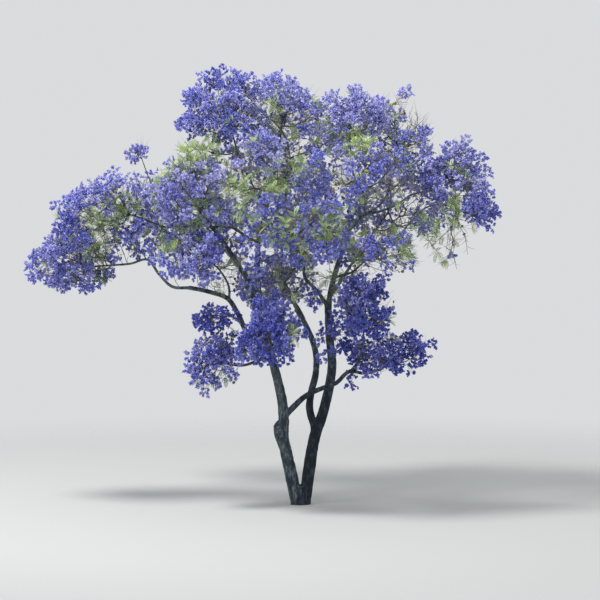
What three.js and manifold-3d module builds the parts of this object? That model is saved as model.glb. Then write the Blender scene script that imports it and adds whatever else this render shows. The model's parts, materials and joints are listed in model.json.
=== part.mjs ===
// A jacaranda in full bloom: a clump of two leaning stems from one root, open
// spreading boughs, and a low wide crown of separate masses of blossom.
// Millimetres, +Z up. The origin is on the flat cut at the ground, midway
// between the two stems. -Y is the front of the tree and +X its right.

import * as THREE from 'three';
import { mergeVertices } from 'three/addons/utils/BufferGeometryUtils.js';
import Module from 'manifold-3d';

const wasm = await Module();
wasm.setup();

// Driving sizes
const treeHeight = 8000;
const seatGap = 0.3; // clearance between two pieces that meet
const footHeight = 380; // where the fused foot parts into the two stems
const flareRadius = 190; // half width of the root flare at the ground
const flareDepth = 0.86; // the flare's depth, front to back, over its width
const flareHeight = 260;
const flareWaist = 0.62; // width at the top of the flare over its width at the ground
const flareRings = 3;
const rootRidges = 5; // ridges round the flare where the roots run out
const ridgeSwell = 0.09;
const stemSides = 8;
const boughSides = 5;
const ringStep = 330; // length of limb between two rings of corners
const tipPoint = 0.8; // length of a limb's blunt point, in tip radii
const massDetail = 2; // subdivisions of the twenty-sided start of a mass
const smallMass = 800; // a mass narrower than this gets one subdivision fewer
const lumpCount = 13; // swellings and hollows on each mass
const lumpWidth = 0.5; // spread of one lump, in radians
const lumpHeight = 0.42; // greatest swelling, as a share of the radius
const peakHeight = 0.36; // swelling of a mass towards its own furthest tip

// The two stems, from below the ground cut to the fork. radii are the ones at
// the foot and at the tip.
const stems = [
  { name: 'left_stem', radii: [117, 64], path: [[-52, 0, -60], [-132, -5, 370], [-218, -20, 810],
    [-308, -45, 1190], [-298, -70, 1600], [-340, -90, 2000], [-450, -110, 2450], [-540, -115, 2850]] },
  { name: 'right_stem', radii: [112, 56], path: [[74, 8, -60], [132, 15, 370], [205, 45, 880],
    [250, 60, 1170], [440, 75, 1740], [560, 65, 2280], [590, 40, 2620], [540, -10, 3100], [515, -50, 3640]] },
];

// The boughs. Each starts on another limb, at a share of that limb's length,
// runs through its bends and ends at its tip, which stands inside a mass or
// carries the next boughs.
const boughs = [
  { name: 'middle_stem', from: 'right_stem', share: 0.31, radii: [66, 38],
    bends: [[195, 120, 1560], [170, 220, 1880], [285, 320, 2380], [290, 370, 2760], [150, 400, 3180]],
    tip: [-40, 390, 3530] },
  { name: 'cut_stub', from: 'left_stem', share: 0.38, radii: [88, 72],
    bends: [[-385, -70, 1290]], tip: [-440, -80, 1440] },
  { name: 'cross_bough', from: 'left_stem', share: 0.55, radii: [52, 17],
    bends: [[-20, -210, 1920], [380, -400, 2170], [590, -450, 2230], [860, -560, 2480], [1000, -620, 2540],
      [1180, -690, 2480]],
    tip: [1480, -760, 2560] },
  { name: 'low_right_riser', from: 'cross_bough', share: 0.74, radii: [26, 15],
    bends: [[1110, -1120, 2860]], tip: [1150, -1300, 3330] },
  { name: 'low_left_bough', from: 'left_stem', share: 0.92, radii: [34, 17],
    bends: [[-900, -430, 2690], [-1120, -560, 2600]], tip: [-1420, -650, 2660] },
  { name: 'long_left_bough', from: 'left_stem', share: 0.97, radii: [44, 31],
    bends: [[-920, -250, 3110], [-1130, -330, 3530], [-1290, -400, 3800], [-1560, -450, 3920]],
    tip: [-1990, -450, 4020] },
  { name: 'far_left_bough', from: 'long_left_bough', share: 1, radii: [29, 15],
    bends: [[-2300, -400, 4030], [-2550, -330, 4240], [-2800, -280, 4530], [-3110, -200, 4440]],
    tip: [-3760, -60, 4390] },
  { name: 'left_riser', from: 'long_left_bough', share: 0.62, radii: [24, 13],
    bends: [[-1340, -560, 4200]], tip: [-1640, -760, 4540] },
  { name: 'low_left_spur', from: 'long_left_bough', share: 0.4, radii: [18, 10],
    bends: [[-1240, -560, 3500]], tip: [-1420, -760, 3530] },
  { name: 'front_low_bough', from: 'left_stem', share: 0.985, radii: [36, 18],
    bends: [[-540, -500, 3020]], tip: [-520, -1120, 3280] },
  { name: 'left_bough', from: 'left_stem', share: 1, radii: [52, 24],
    bends: [[-800, -110, 3500], [-960, -140, 4130], [-1200, -250, 4560], [-1430, -350, 4900]],
    tip: [-1720, -430, 5280] },
  { name: 'centre_bough', from: 'left_stem', share: 1, radii: [50, 18],
    bends: [[-690, -20, 3420], [-760, 60, 4000], [-770, 110, 4780], [-640, 120, 5350], [-520, 140, 5850]],
    tip: [-330, 330, 7020] },
  { name: 'shelf_bough', from: 'centre_bough', share: 0.45, radii: [27, 13],
    bends: [[-1180, -60, 5080], [-1580, 0, 5110], [-1880, 0, 5160], [-2330, -80, 5090]],
    tip: [-3040, -220, 5330] },
  { name: 'sprig_bough', from: 'shelf_bough', share: 0.72, radii: [13, 8],
    bends: [[-2560, 80, 5560], [-2800, 200, 6080]], tip: [-2930, 220, 6420] },
  { name: 'dome_bough', from: 'centre_bough', share: 0.66, radii: [27, 14],
    bends: [[-930, 60, 5780], [-1090, 100, 6250]], tip: [-1250, 180, 6850] },
  { name: 'middle_left_bough', from: 'middle_stem', share: 1, radii: [33, 9],
    bends: [[-180, 370, 3830], [-300, 310, 4120], [-330, 260, 4900], [-250, 220, 5700], [-190, 20, 6420],
      [-330, -260, 6880], [-620, -350, 7150], [-860, -310, 7380]],
    tip: [-975, -150, 7740] },
  { name: 'middle_right_bough', from: 'right_stem', share: 1, radii: [36, 18],
    bends: [[370, -80, 3880], [120, -160, 4130], [60, -420, 4500]], tip: [40, -1640, 5080] },
  { name: 'right_bough', from: 'right_stem', share: 1, radii: [46, 31],
    bends: [[570, -100, 3990], [730, -150, 4560], [900, -180, 5080]], tip: [1180, -200, 5370] },
  { name: 'right_fan_bough', from: 'right_bough', share: 1, radii: [25, 14],
    bends: [[1640, -100, 5460], [2010, 0, 5690], [2280, 60, 5750]], tip: [2600, 100, 5950] },
  { name: 'right_high_bough', from: 'right_bough', share: 0.975, radii: [23, 13],
    bends: [[1500, 110, 5540], [1640, 260, 5860]], tip: [1800, 480, 6560] },
  { name: 'front_high_bough', from: 'right_bough', share: 0.985, radii: [23, 13],
    bends: [[1160, -480, 5700]], tip: [1060, -1150, 5980] },
  { name: 'top_right_bough', from: 'right_bough', share: 0.93, radii: [22, 12],
    bends: [[1010, 60, 5780]], tip: [900, 180, 6800] },
  { name: 'right_thin_bough', from: 'right_bough', share: 0.52, radii: [23, 12],
    bends: [[1200, -330, 4520], [1720, -330, 4880], [2160, -270, 5370], [2420, -240, 5540]],
    tip: [3160, -220, 5330] },
  { name: 'front_right_bough', from: 'right_bough', share: 0.3, radii: [26, 14],
    bends: [[960, -660, 4330]], tip: [1220, -1120, 4620] },
  { name: 'front_upper_bough', from: 'centre_bough', share: 0.6, radii: [27, 14],
    bends: [[-640, -500, 5560]], tip: [-620, -1150, 5900] },
  { name: 'back_top_bough', from: 'middle_left_bough', share: 0.4, radii: [26, 14],
    bends: [[-260, 800, 5600]], tip: [-250, 1500, 6260] },
  { name: 'back_left_bough', from: 'centre_bough', share: 0.2, radii: [36, 15],
    bends: [[-1000, 620, 4200], [-1500, 1250, 4700]], tip: [-1850, 1650, 5020] },
  { name: 'back_right_bough', from: 'right_bough', share: 0.1, radii: [36, 15],
    bends: [[860, 560, 4250], [1300, 1250, 4850]], tip: [1620, 1650, 5250] },
  { name: 'back_low_bough', from: 'middle_stem', share: 0.8, radii: [28, 14],
    bends: [[0, 1050, 3500]], tip: [-260, 1750, 3850] },
  { name: 'back_middle_bough', from: 'middle_left_bough', share: 0.13, radii: [28, 14],
    bends: [[0, 1200, 4420]], tip: [200, 2480, 4950] },
];

// The masses of blossom. at is the middle and size the whole width, depth and
// height; peak points to the furthest swelling; seed sets the other lumps.
const masses = [
  { name: 'top_dome', at: [-1430, 240, 7330], size: [1500, 1700, 1340], peak: [0.3, 0, 1], seed: 36 },
  { name: 'top_crest', at: [-130, 420, 7270], size: [1180, 1500, 1060], peak: [-0.7, 0, 0.7], seed: 100 },
  { name: 'top_right', at: [950, 260, 7020], size: [1080, 1500, 1080], peak: [-0.2, 0, 1], seed: 143 },
  { name: 'upper_right', at: [1900, 620, 6880], size: [1080, 1600, 1560], peak: [-0.2, 0, 1], seed: 70 },
  { name: 'right_shoulder', at: [2800, 160, 6030], size: [1060, 1700, 1400], peak: [0.2, 0, 1], seed: 69 },
  { name: 'right_tip', at: [3290, -240, 5340], size: [740, 900, 760], peak: [1, 0, 0], seed: 130 },
  { name: 'right_under', at: [2720, -260, 4900], size: [1240, 1100, 1340], peak: [0.2, 0, -1], seed: 112 },
  { name: 'left_top', at: [-1960, -520, 5710], size: [1560, 1300, 1540], peak: [-0.3, 0, 1], seed: 97 },
  { name: 'left_middle', at: [-3630, -260, 5470], size: [1820, 1450, 1190], peak: [-1, 0, -0.15], seed: 105 },
  { name: 'left_tip', at: [-4200, -20, 4520], size: [1780, 1350, 1180], peak: [-1, 0, -0.15], seed: 41 },
  { name: 'left_sprig', at: [-2960, 240, 6470], size: [420, 420, 420], peak: [0, 0, 1], seed: 60 },
  { name: 'left_under', at: [-2040, -920, 4600], size: [1240, 1050, 780], peak: [-1, 0, -0.1], seed: 141 },
  { name: 'front_upper', at: [-560, -1560, 6080], size: [1960, 1500, 1500], peak: [0.9, 0, 0.4], seed: 12 },
  { name: 'front_centre', at: [-20, -2050, 5300], size: [2100, 1800, 1350], peak: [0.9, 0, -0.3], seed: 15 },
  { name: 'front_high', at: [1330, -1500, 6120], size: [1750, 1500, 1350], peak: [0.9, 0, 0.4], seed: 18 },
  { name: 'front_right', at: [1500, -1420, 4780], size: [1500, 1400, 1120], peak: [1, 0, -0.3], seed: 19 },
  { name: 'low_left_cluster', at: [-1540, -960, 3520], size: [780, 700, 440], peak: [-1, 0, 0], seed: 146 },
  { name: 'low_left', at: [-1620, -760, 2650], size: [980, 1050, 1020], peak: [-0.3, 0, -1], seed: 163 },
  { name: 'low_centre', at: [-540, -1500, 3270], size: [1120, 1300, 1330], peak: [0, 0, 1], seed: 190 },
  { name: 'low_right', at: [1220, -1280, 3760], size: [1020, 1250, 1150], peak: [0.3, 0, 1], seed: 114 },
  { name: 'low_skirt', at: [1640, -740, 2790], size: [1560, 1020, 830], peak: [1, 0, 0.2], seed: 134 },
  { name: 'low_middle', at: [650, -270, 3060], size: [520, 560, 800], peak: [0, -0.5, 1], seed: 17 },
  { name: 'back_top', at: [-180, 1980, 6400], size: [2300, 1600, 1450], peak: [0.3, 0.4, 1], seed: 28 },
  { name: 'back_left', at: [-2200, 1960, 5250], size: [2200, 1800, 1600], peak: [-0.8, 0.6, 0], seed: 29 },
  { name: 'back_right', at: [2000, 1960, 5500], size: [2100, 1800, 1650], peak: [0.8, 0.6, 0], seed: 30 },
  { name: 'back_low', at: [-420, 2150, 3950], size: [1500, 1200, 950], peak: [0, 1, 0], seed: 31 },
  { name: 'back_middle', at: [250, 2650, 5000], size: [1700, 1400, 1250], peak: [0, 1, 0.3], seed: 32 },
];

const bark = () => new THREE.MeshStandardMaterial({ color: 0x5b5850, roughness: 0.93, metalness: 0 });
const blossom = () => new THREE.MeshStandardMaterial({ color: 0x6a62b4, roughness: 0.7, metalness: 0 });

// A geometry with one corner per place, as the joining library needs it
function welded(geometry) {
  geometry.deleteAttribute('normal');
  geometry.deleteAttribute('uv');
  return mergeVertices(geometry, 1e-4);
}

function toSolid(geometry) {
  const vertProperties = new Float32Array(geometry.attributes.position.array);
  const triVerts = new Uint32Array(geometry.index.array);
  return new wasm.Manifold(new wasm.Mesh({ numProp: 3, vertProperties, triVerts }));
}

// Cutting can leave a crumb beside the piece: only the largest body is the piece
function largestBody(solid) {
  return solid.decompose().reduce((best, body) => (body.volume() > best.volume() ? body : best));
}

function toMesh(name, solid, material) {
  const { vertProperties, triVerts } = largestBody(solid).getMesh();
  const geometry = new THREE.BufferGeometry();
  geometry.setAttribute('position', new THREE.BufferAttribute(vertProperties, 3));
  geometry.setIndex(new THREE.BufferAttribute(triVerts, 1));
  geometry.computeVertexNormals();
  const mesh = new THREE.Mesh(geometry, material);
  mesh.name = name;
  return mesh;
}

// A tapering round limb: a cylinder whose rings are carried along the curve,
// closed by a flat root and a blunt point. grow widens it all over.
function sweep(curve, radii, sides, grow = 0) {
  const rings = Math.max(3, Math.round(curve.getLength() / ringStep));
  const frames = curve.computeFrenetFrames(rings, false);
  const geometry = welded(new THREE.CylinderGeometry(1, 1, 1, sides, rings, false));
  const corners = geometry.attributes.position;
  const corner = new THREE.Vector3();
  for (let i = 0; i < corners.count; i += 1) {
    corner.fromBufferAttribute(corners, i);
    const ring = Math.round((corner.y + 0.5) * rings);
    const along = ring / rings;
    const radius = THREE.MathUtils.lerp(radii[0], radii[1], along) + grow;
    const onAxis = Math.hypot(corner.x, corner.z) < 0.5;
    const point = onAxis && ring === rings ? tipPoint * radius : 0;
    const place = curve.getPointAt(along);
    place.addScaledVector(frames.binormals[ring], corner.x * radius);
    place.addScaledVector(frames.normals[ring], corner.z * radius);
    place.addScaledVector(frames.tangents[ring], point);
    corners.setXYZ(i, place.x, place.y, place.z);
  }
  return toSolid(geometry);
}

function curveThrough(points) {
  return new THREE.CatmullRomCurve3(points.map((p) => new THREE.Vector3(...p)), false, 'centripetal');
}

// A flat slab as wide as the whole tree, from one height to another
function slab(bottom, top) {
  const width = 20000;
  const box = new THREE.BoxGeometry(width, width, top - bottom);
  return toSolid(welded(box.translate(0, 0, (top + bottom) / 2)));
}

// The root flare: a drum that narrows upwards on a square curve and swells out in ridges
function rootFlare() {
  const geometry = welded(new THREE.CylinderGeometry(1, 1, 1, rootRidges * 3, flareRings, false));
  const corners = geometry.attributes.position;
  for (let i = 0; i < corners.count; i += 1) {
    const up = corners.getY(i) + 0.5;
    const turn = Math.atan2(corners.getZ(i), corners.getX(i));
    const reach = Math.hypot(corners.getX(i), corners.getZ(i));
    const narrowing = THREE.MathUtils.lerp(flareWaist, 1, (1 - up) ** 2);
    const ridge = 1 + ridgeSwell * (1 - up) * Math.cos(rootRidges * turn);
    const radius = reach * flareRadius * narrowing * ridge;
    corners.setXYZ(i, radius * Math.cos(turn), -radius * flareDepth * Math.sin(turn), up * flareHeight);
  }
  return toSolid(geometry);
}

// Even pseudo-random numbers from 0 to 1, the same each run for one seed: each
// is the last one times a multiplier, left over after division by a prime
function seededRandom(seed) {
  const prime = 2147483647;
  const multiplier = 16807;
  let state = seed * multiplier;
  return () => {
    state = (state * multiplier) % prime;
    return state / prime;
  };
}

function randomDirection(random) {
  const height = 2 * random() - 1;
  const turn = 2 * Math.PI * random();
  const reach = Math.sqrt(1 - height * height);
  return new THREE.Vector3(reach * Math.cos(turn), reach * Math.sin(turn), height);
}

// An uneven closed mass: a ball swollen or dented by smooth lumps, the greatest
// towards its peak, then stretched to fill its own width, depth and height
function massSolid({ at, size, peak, seed }, grow = 0) {
  const random = seededRandom(seed);
  const lumps = [{ way: new THREE.Vector3(...peak).normalize(), height: peakHeight }];
  for (let i = 1; i < lumpCount; i += 1) {
    lumps.push({ way: randomDirection(random), height: lumpHeight * (i % 3 === 0 ? -0.7 : random()) });
  }
  const detail = size[0] < smallMass ? massDetail - 1 : massDetail;
  const geometry = welded(new THREE.IcosahedronGeometry(1, detail));
  const corners = geometry.attributes.position;
  const corner = new THREE.Vector3();
  for (let i = 0; i < corners.count; i += 1) {
    corner.fromBufferAttribute(corners, i).normalize();
    const swell = lumps.reduce((sum, lump) => {
      const away = corner.angleTo(lump.way) / lumpWidth;
      return sum + lump.height * Math.exp(-away * away);
    }, 1);
    corner.multiplyScalar(swell);
    corners.setXYZ(i, corner.x, corner.y, corner.z);
  }
  geometry.computeBoundingBox();
  const extent = geometry.boundingBox.getSize(new THREE.Vector3());
  const middle = geometry.boundingBox.getCenter(new THREE.Vector3());
  geometry.translate(-middle.x, -middle.y, -middle.z);
  const stretch = size.map((side, axis) => (side + 2 * grow) / extent.getComponent(axis));
  geometry.scale(...stretch).translate(...at);
  return toSolid(geometry);
}

const tree = new THREE.Group();
const limbs = new Map(); // each limb's curve, and its solid grown by the clearance

// A solid cut clear of every limb placed so far
function clearOfLimbs(solid) {
  return [...limbs.values()].reduce((rest, limb) => rest.subtract(limb.grown), solid);
}

function addStemsAndFoot() {
  const whole = stems.map(({ path, radii }) => sweep(curveThrough(path), radii, stemSides));
  const foot = whole[0].add(whole[1]).add(rootFlare()).intersect(slab(0, footHeight));
  tree.add(toMesh('trunk_foot', foot, bark()));
  stems.forEach(({ name, path, radii }, i) => {
    const curve = curveThrough(path);
    const above = whole[i].intersect(slab(footHeight + seatGap, treeHeight));
    limbs.set(name, { curve, grown: sweep(curve, radii, stemSides, seatGap) });
    tree.add(toMesh(name, above, bark()));
  });
}

function addBoughs() {
  boughs.forEach(({ name, from, share, bends, tip, radii }) => {
    const start = limbs.get(from).curve.getPointAt(share).toArray();
    const curve = curveThrough([start, ...bends, tip]);
    const sides = name.endsWith('stem') ? stemSides : boughSides;
    const cut = clearOfLimbs(sweep(curve, radii, sides));
    limbs.set(name, { curve, grown: sweep(curve, radii, sides, seatGap) });
    tree.add(toMesh(name, cut, bark()));
  });
}

function addMasses() {
  const placed = [];
  masses.forEach((mass) => {
    const clear = clearOfLimbs(massSolid(mass));
    const cut = placed.reduce((rest, other) => rest.subtract(other), clear);
    placed.push(massSolid(mass, 2 * seatGap));
    tree.add(toMesh(mass.name, cut, blossom()));
  });
}

addStemsAndFoot();
addBoughs();
addMasses();

export default tree;
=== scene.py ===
# A jacaranda in full bloom. Its stems and boughs follow the frame's limbs under a fissured bark.
# Each mass of the frame is replaced by boughs, twigs, blossom, leaves and pods, grown on from
# the limbs by a seeded branching rule. Metres, +Z up, the front of the tree towards -Y.
import itertools
import json
import math

import bmesh
import bpy
import numpy as np
from mathutils import Matrix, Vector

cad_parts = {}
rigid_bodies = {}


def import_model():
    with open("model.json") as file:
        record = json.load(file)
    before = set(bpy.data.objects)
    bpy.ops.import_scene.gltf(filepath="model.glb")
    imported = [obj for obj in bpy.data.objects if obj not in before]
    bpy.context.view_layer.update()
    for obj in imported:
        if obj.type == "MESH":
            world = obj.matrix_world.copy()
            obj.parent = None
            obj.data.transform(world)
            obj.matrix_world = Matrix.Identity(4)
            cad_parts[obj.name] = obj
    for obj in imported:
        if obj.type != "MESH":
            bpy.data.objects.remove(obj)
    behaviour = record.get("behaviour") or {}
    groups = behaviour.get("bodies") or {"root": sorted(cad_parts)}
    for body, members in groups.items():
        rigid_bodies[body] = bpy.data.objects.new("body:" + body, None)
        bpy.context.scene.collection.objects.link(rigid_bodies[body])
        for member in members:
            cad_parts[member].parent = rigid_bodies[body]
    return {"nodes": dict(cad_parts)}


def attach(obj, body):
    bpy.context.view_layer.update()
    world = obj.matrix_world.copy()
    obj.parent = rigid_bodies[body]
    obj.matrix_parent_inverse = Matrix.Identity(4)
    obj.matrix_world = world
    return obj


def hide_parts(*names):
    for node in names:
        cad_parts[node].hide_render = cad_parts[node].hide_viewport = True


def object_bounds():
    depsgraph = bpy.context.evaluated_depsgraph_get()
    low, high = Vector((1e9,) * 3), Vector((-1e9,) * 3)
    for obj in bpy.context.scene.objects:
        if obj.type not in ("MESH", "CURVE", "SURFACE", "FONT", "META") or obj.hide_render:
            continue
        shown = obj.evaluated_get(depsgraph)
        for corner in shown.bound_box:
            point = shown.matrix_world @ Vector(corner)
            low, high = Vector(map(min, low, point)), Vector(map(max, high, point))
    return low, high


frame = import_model()
cadLow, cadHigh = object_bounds()

tree = {
    "seed": 41,
    "body": "root",
    "up": np.array([0.0, 0.0, 1.0]),
    "side": np.array([1.0, 0.0, 0.0]),
    "steep": 0.97,  # a way is steep where it rises more than this
    "steepLimb": 0.8,  # and a whole limb here
    "tiny": 1e-9,  # no length divides when it is less than this
    "noiseTable": 512,
}

# The row of chance numbers that each step draws from
stages = {
    "plates": 11,
    "finePlates": 12,
    "lumps": 13,
    "shake": 40,
    "tint": 60,
    "leafTint": 70,
    "sway": 100,
    "skins": 200,
    "branches": 300,
    "shoots": 350,
    "sideTwigs": 360,
    "sprays": 500,
    "panicles": 510,
    "leaves": 520,
    "pods": 530,
}

# Which limb each limb springs from. The two stems spring from the foot.
limbFrom = {
    "left_stem": None,
    "right_stem": None,
    "middle_stem": "right_stem",
    "cut_stub": "left_stem",
    "cross_bough": "left_stem",
    "low_right_riser": "cross_bough",
    "low_left_bough": "left_stem",
    "long_left_bough": "left_stem",
    "far_left_bough": "long_left_bough",
    "left_riser": "long_left_bough",
    "low_left_spur": "long_left_bough",
    "front_low_bough": "left_stem",
    "left_bough": "left_stem",
    "centre_bough": "left_stem",
    "shelf_bough": "centre_bough",
    "sprig_bough": "shelf_bough",
    "dome_bough": "centre_bough",
    "middle_left_bough": "middle_stem",
    "middle_right_bough": "right_stem",
    "right_bough": "right_stem",
    "right_fan_bough": "right_bough",
    "right_high_bough": "right_bough",
    "front_high_bough": "right_bough",
    "top_right_bough": "right_bough",
    "right_thin_bough": "right_bough",
    "front_right_bough": "right_bough",
    "front_upper_bough": "centre_bough",
    "back_top_bough": "middle_left_bough",
    "back_left_bough": "centre_bough",
    "back_right_bough": "right_bough",
    "back_low_bough": "middle_stem",
    "back_middle_bough": "middle_left_bough",
}

# Each mass: tint is the middle of its blossom colours, from 0, deep, to 5, pale. The low masses'
# deeper tints are partly painted shade under the crown. full is the share of its places that
# carry a spray, leaf the share of these that are leaves, and gap the metres between two of them.
masses = {
    "top_dome": {"tint": 3.2, "leaf": 0.03, "full": 0.86, "gap": 0.16},
    "top_crest": {"tint": 3.9, "leaf": 0.14, "full": 0.6, "gap": 0.165},
    "top_right": {"tint": 4.6, "leaf": 0.12, "full": 0.54, "gap": 0.165},
    "upper_right": {"tint": 4.6, "leaf": 0.14, "full": 0.4, "gap": 0.165},
    "right_shoulder": {"tint": 3.7, "leaf": 0.1, "full": 0.54, "gap": 0.16},
    "right_tip": {"tint": 3.7, "leaf": 0.1, "full": 0.6, "gap": 0.14},
    "right_under": {"tint": 3.4, "leaf": 0.7, "full": 0.5, "gap": 0.2},
    "left_top": {"tint": 3.9, "leaf": 0.12, "full": 0.54, "gap": 0.16},
    "left_middle": {"tint": 4.0, "leaf": 0.12, "full": 0.52, "gap": 0.16},
    "left_tip": {"tint": 3.9, "leaf": 0.1, "full": 0.64, "gap": 0.15},
    "left_sprig": {"tint": 3.4, "leaf": 0.0, "full": 1.0, "gap": 0.1},
    "left_under": {"tint": 3.4, "leaf": 0.1, "full": 0.6, "gap": 0.15},
    "front_upper": {"tint": 3.9, "leaf": 0.1, "full": 0.38, "gap": 0.17},
    "front_centre": {"tint": 3.5, "leaf": 0.1, "full": 0.32, "gap": 0.175},
    "front_high": {"tint": 3.8, "leaf": 0.1, "full": 0.34, "gap": 0.175},
    "front_right": {"tint": 3.2, "leaf": 0.1, "full": 0.38, "gap": 0.17},
    # the low masses: deeper tints, partly painted shade under the crown
    "low_left_cluster": {"tint": 2.2, "leaf": 0.0, "full": 1.0, "gap": 0.13},
    "low_left": {"tint": 2.9, "leaf": 0.05, "full": 0.56, "gap": 0.14},
    "low_centre": {"tint": 2.4, "leaf": 0.03, "full": 0.84, "gap": 0.14},
    "low_right": {"tint": 2.9, "leaf": 0.06, "full": 0.52, "gap": 0.14},
    "low_skirt": {"tint": 2.3, "leaf": 0.06, "full": 0.58, "gap": 0.145},
    "low_middle": {"tint": 2.6, "leaf": 0.1, "full": 0.42, "gap": 0.145},
    "back_top": {"tint": 3.7, "leaf": 0.12, "full": 0.58, "gap": 0.2},
    "back_left": {"tint": 3.4, "leaf": 0.12, "full": 0.56, "gap": 0.2},
    "back_right": {"tint": 3.5, "leaf": 0.12, "full": 0.54, "gap": 0.2},
    "back_low": {"tint": 2.9, "leaf": 0.1, "full": 0.6, "gap": 0.165},
    "back_middle": {"tint": 3.2, "leaf": 0.12, "full": 0.5, "gap": 0.2},
}

# Open parts of the crown between the masses, where lighter growth fills in: each an ellipsoid
# round its middle that reaches so far across, deep and up
hollows = {
    "heart": {
        "middle": (0.35, 0.75, 5.8), "reach": (2.1, 1.5, 1.4),
        "tint": 3.4, "leaf": 0.3, "full": 0.22, "gap": 0.27,
    },
    "underside": {
        "middle": (-0.25, -0.1, 4.42), "reach": (1.75, 1.2, 0.74),
        "tint": 3.1, "leaf": 0.25, "full": 0.2, "gap": 0.21,
    },
    "arch": {
        "middle": (-2.92, -0.1, 4.8), "reach": (0.55, 0.4, 0.32),
        "tint": 3.6, "leaf": 0.2, "full": 0.32, "gap": 0.18,
    },
    "shoulder": {
        "middle": (-1.86, -0.3, 6.42), "reach": (0.44, 0.4, 0.26),
        "tint": 3.4, "leaf": 0.92, "full": 1.0, "gap": 0.17,
    },
}
spaces = {**masses, **hollows}


def draws(stage):
    # chance numbers, the same each run, with a row of its own for each stage
    return np.random.default_rng([tree["seed"], stage])


def unit(ways):
    # each way divided by its own length
    return ways / np.maximum(np.linalg.norm(ways, axis=-1, keepdims=True), tree["tiny"])


def eased(t):
    # from 0 to 1 with level ends: 3t^2 - 2t^3
    return t * t * (3 - 2 * t)


def easedBetween(values, low, high):
    # eased from 0 at low to 1 at high
    return eased(np.clip((values - low) / (high - low), 0, 1))


def smoothNoise(places, stage):
    # From -1 to 1: chance values at the corners of a unit lattice, blended in each axis
    # by the eased way through the cell.
    random = draws(stage)
    size = tree["noiseTable"]
    table = random.permutation(size)
    values = random.uniform(-1, 1, size)
    cell = np.floor(places).astype(np.int64)
    way = eased(places - cell)
    total = np.zeros(len(places))
    for corner in itertools.product((0, 1), repeat=3):
        index = 0
        for column in (cell + corner).T:
            index = table[(index + column) % size]
        share = np.where(corner, way, 1 - way).prod(axis=1)
        total += share * values[index]
    return total


def framesAlong(ways, spins=0.0):
    # Three axes for each way: across, over and the way itself. Over is as near to upright
    # as the way allows, and both are turned by the spin about the way.
    ways = unit(ways)
    guide = np.where(np.abs(ways[..., 2:3]) > tree["steep"], tree["side"], tree["up"])
    across = unit(np.cross(guide, ways))
    over = np.cross(ways, across)
    turn = np.broadcast_to(np.asarray(spins, float), ways.shape[:-1])[..., None]
    return (
        across * np.cos(turn) + over * np.sin(turn),
        over * np.cos(turn) - across * np.sin(turn),
        ways,
    )


def repeated(corners, faces):
    # one shape's faces for each row of corners
    steps = np.arange(len(corners))[:, None, None] * corners.shape[1]
    return corners.reshape(-1, 3), (faces[None] + steps).reshape(-1, faces.shape[1])


def spokesAround(across, over, sides):
    # the ways cos a across + sin a over, with a = 2 pi k / sides
    turn = (2 * np.pi * np.arange(sides) / sides)[:, None]
    return across[..., None, :] * np.cos(turn) + over[..., None, :] * np.sin(turn)


def copies(shape, places, ways, spins, sizes):
    # A small shape repeated: each corner (x, y, z) goes to place + size (x across + y over + z way)
    corners, faces = shape
    across, over, ways = framesAlong(ways, spins)
    sizes = np.broadcast_to(sizes, (len(places),))[:, None, None]
    spread = (
        corners[None, :, 0:1] * across[:, None]
        + corners[None, :, 1:2] * over[:, None]
        + corners[None, :, 2:3] * ways[:, None]
    )
    return repeated(places[:, None] + sizes * spread, faces)


def tubeFaces(rings, sides):
    # The triangles of a tube's walls between its rings of corners, then a fan over each end. The
    # middles of the two ends come after all the rings.
    around = np.arange(sides)
    after = (around + 1) % sides
    up = sides * np.arange(rings - 1)[:, None]
    low, side = (up + around).ravel(), (up + after).ravel()
    walls = np.stack([low, side, side + sides, low, side + sides, low + sides], axis=1)
    last = sides * (rings - 1)
    root = np.stack([after, around, np.full(sides, rings * sides)], axis=1)
    point = np.stack([last + around, last + after, np.full(sides, rings * sides + 1)], axis=1)
    return np.concatenate([walls.reshape(-1, 3), root, point])


def tubes(paths, radii, sides):
    # Round limbs, all of as many rings: corner (i, k) of each is path[i] + radius[i] spoke[k], and
    # each end is drawn to a point
    count, rings = paths.shape[:2]
    chord = unit(paths[:, -1] - paths[:, 0])[:, None]
    along = unit(np.gradient(paths, axis=1))
    guide = np.where(np.abs(chord[..., 2:3]) > tree["steepLimb"], tree["side"], tree["up"])
    across = unit(np.cross(guide, along))
    spokes = spokesAround(across, np.cross(along, across), sides)
    rims = paths[:, :, None] + radii[:, :, None, None] * spokes
    ends = paths[:, -1:] + along[:, -1:] * radii[:, -1:, None]
    starts = paths[:, :1] - along[:, :1] * radii[:, :1, None]
    corners = np.concatenate([rims.reshape(count, -1, 3), starts, ends], axis=1)
    return repeated(corners, tubeFaces(rings, sides))


def spikes(paths, radii):
    # Thin three-sided limbs, open at the foot inside what they grow from and drawn to a point at
    # the last place of the path, with a radius for each place before it
    count, rings = radii.shape
    across, over, _ = framesAlong(paths[:, -1] - paths[:, 0])
    spokes = spokesAround(across, over, 3)
    rims = paths[:, :rings, None] + radii[:, :, None, None] * spokes[:, None]
    corners = np.concatenate([rims.reshape(count, -1, 3), paths[:, -1:]], axis=1)
    last = 3 * (rings - 1)
    walls = tubeFaces(rings, 3)[: 6 * (rings - 1)]
    point = np.array([[0, 1, 3], [1, 2, 3], [2, 0, 3]]) + last
    return repeated(corners, np.concatenate([walls, point]))


def joined(parts):
    # several (corners, faces) as one
    sizes = [len(corners) for corners, faces in parts]
    starts = np.concatenate([[0], np.cumsum(sizes)[:-1]]).astype(int)
    faces = [part[1] + start for part, start in zip(parts, starts)]
    return np.concatenate([part[0] for part in parts]), np.concatenate(faces)


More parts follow.
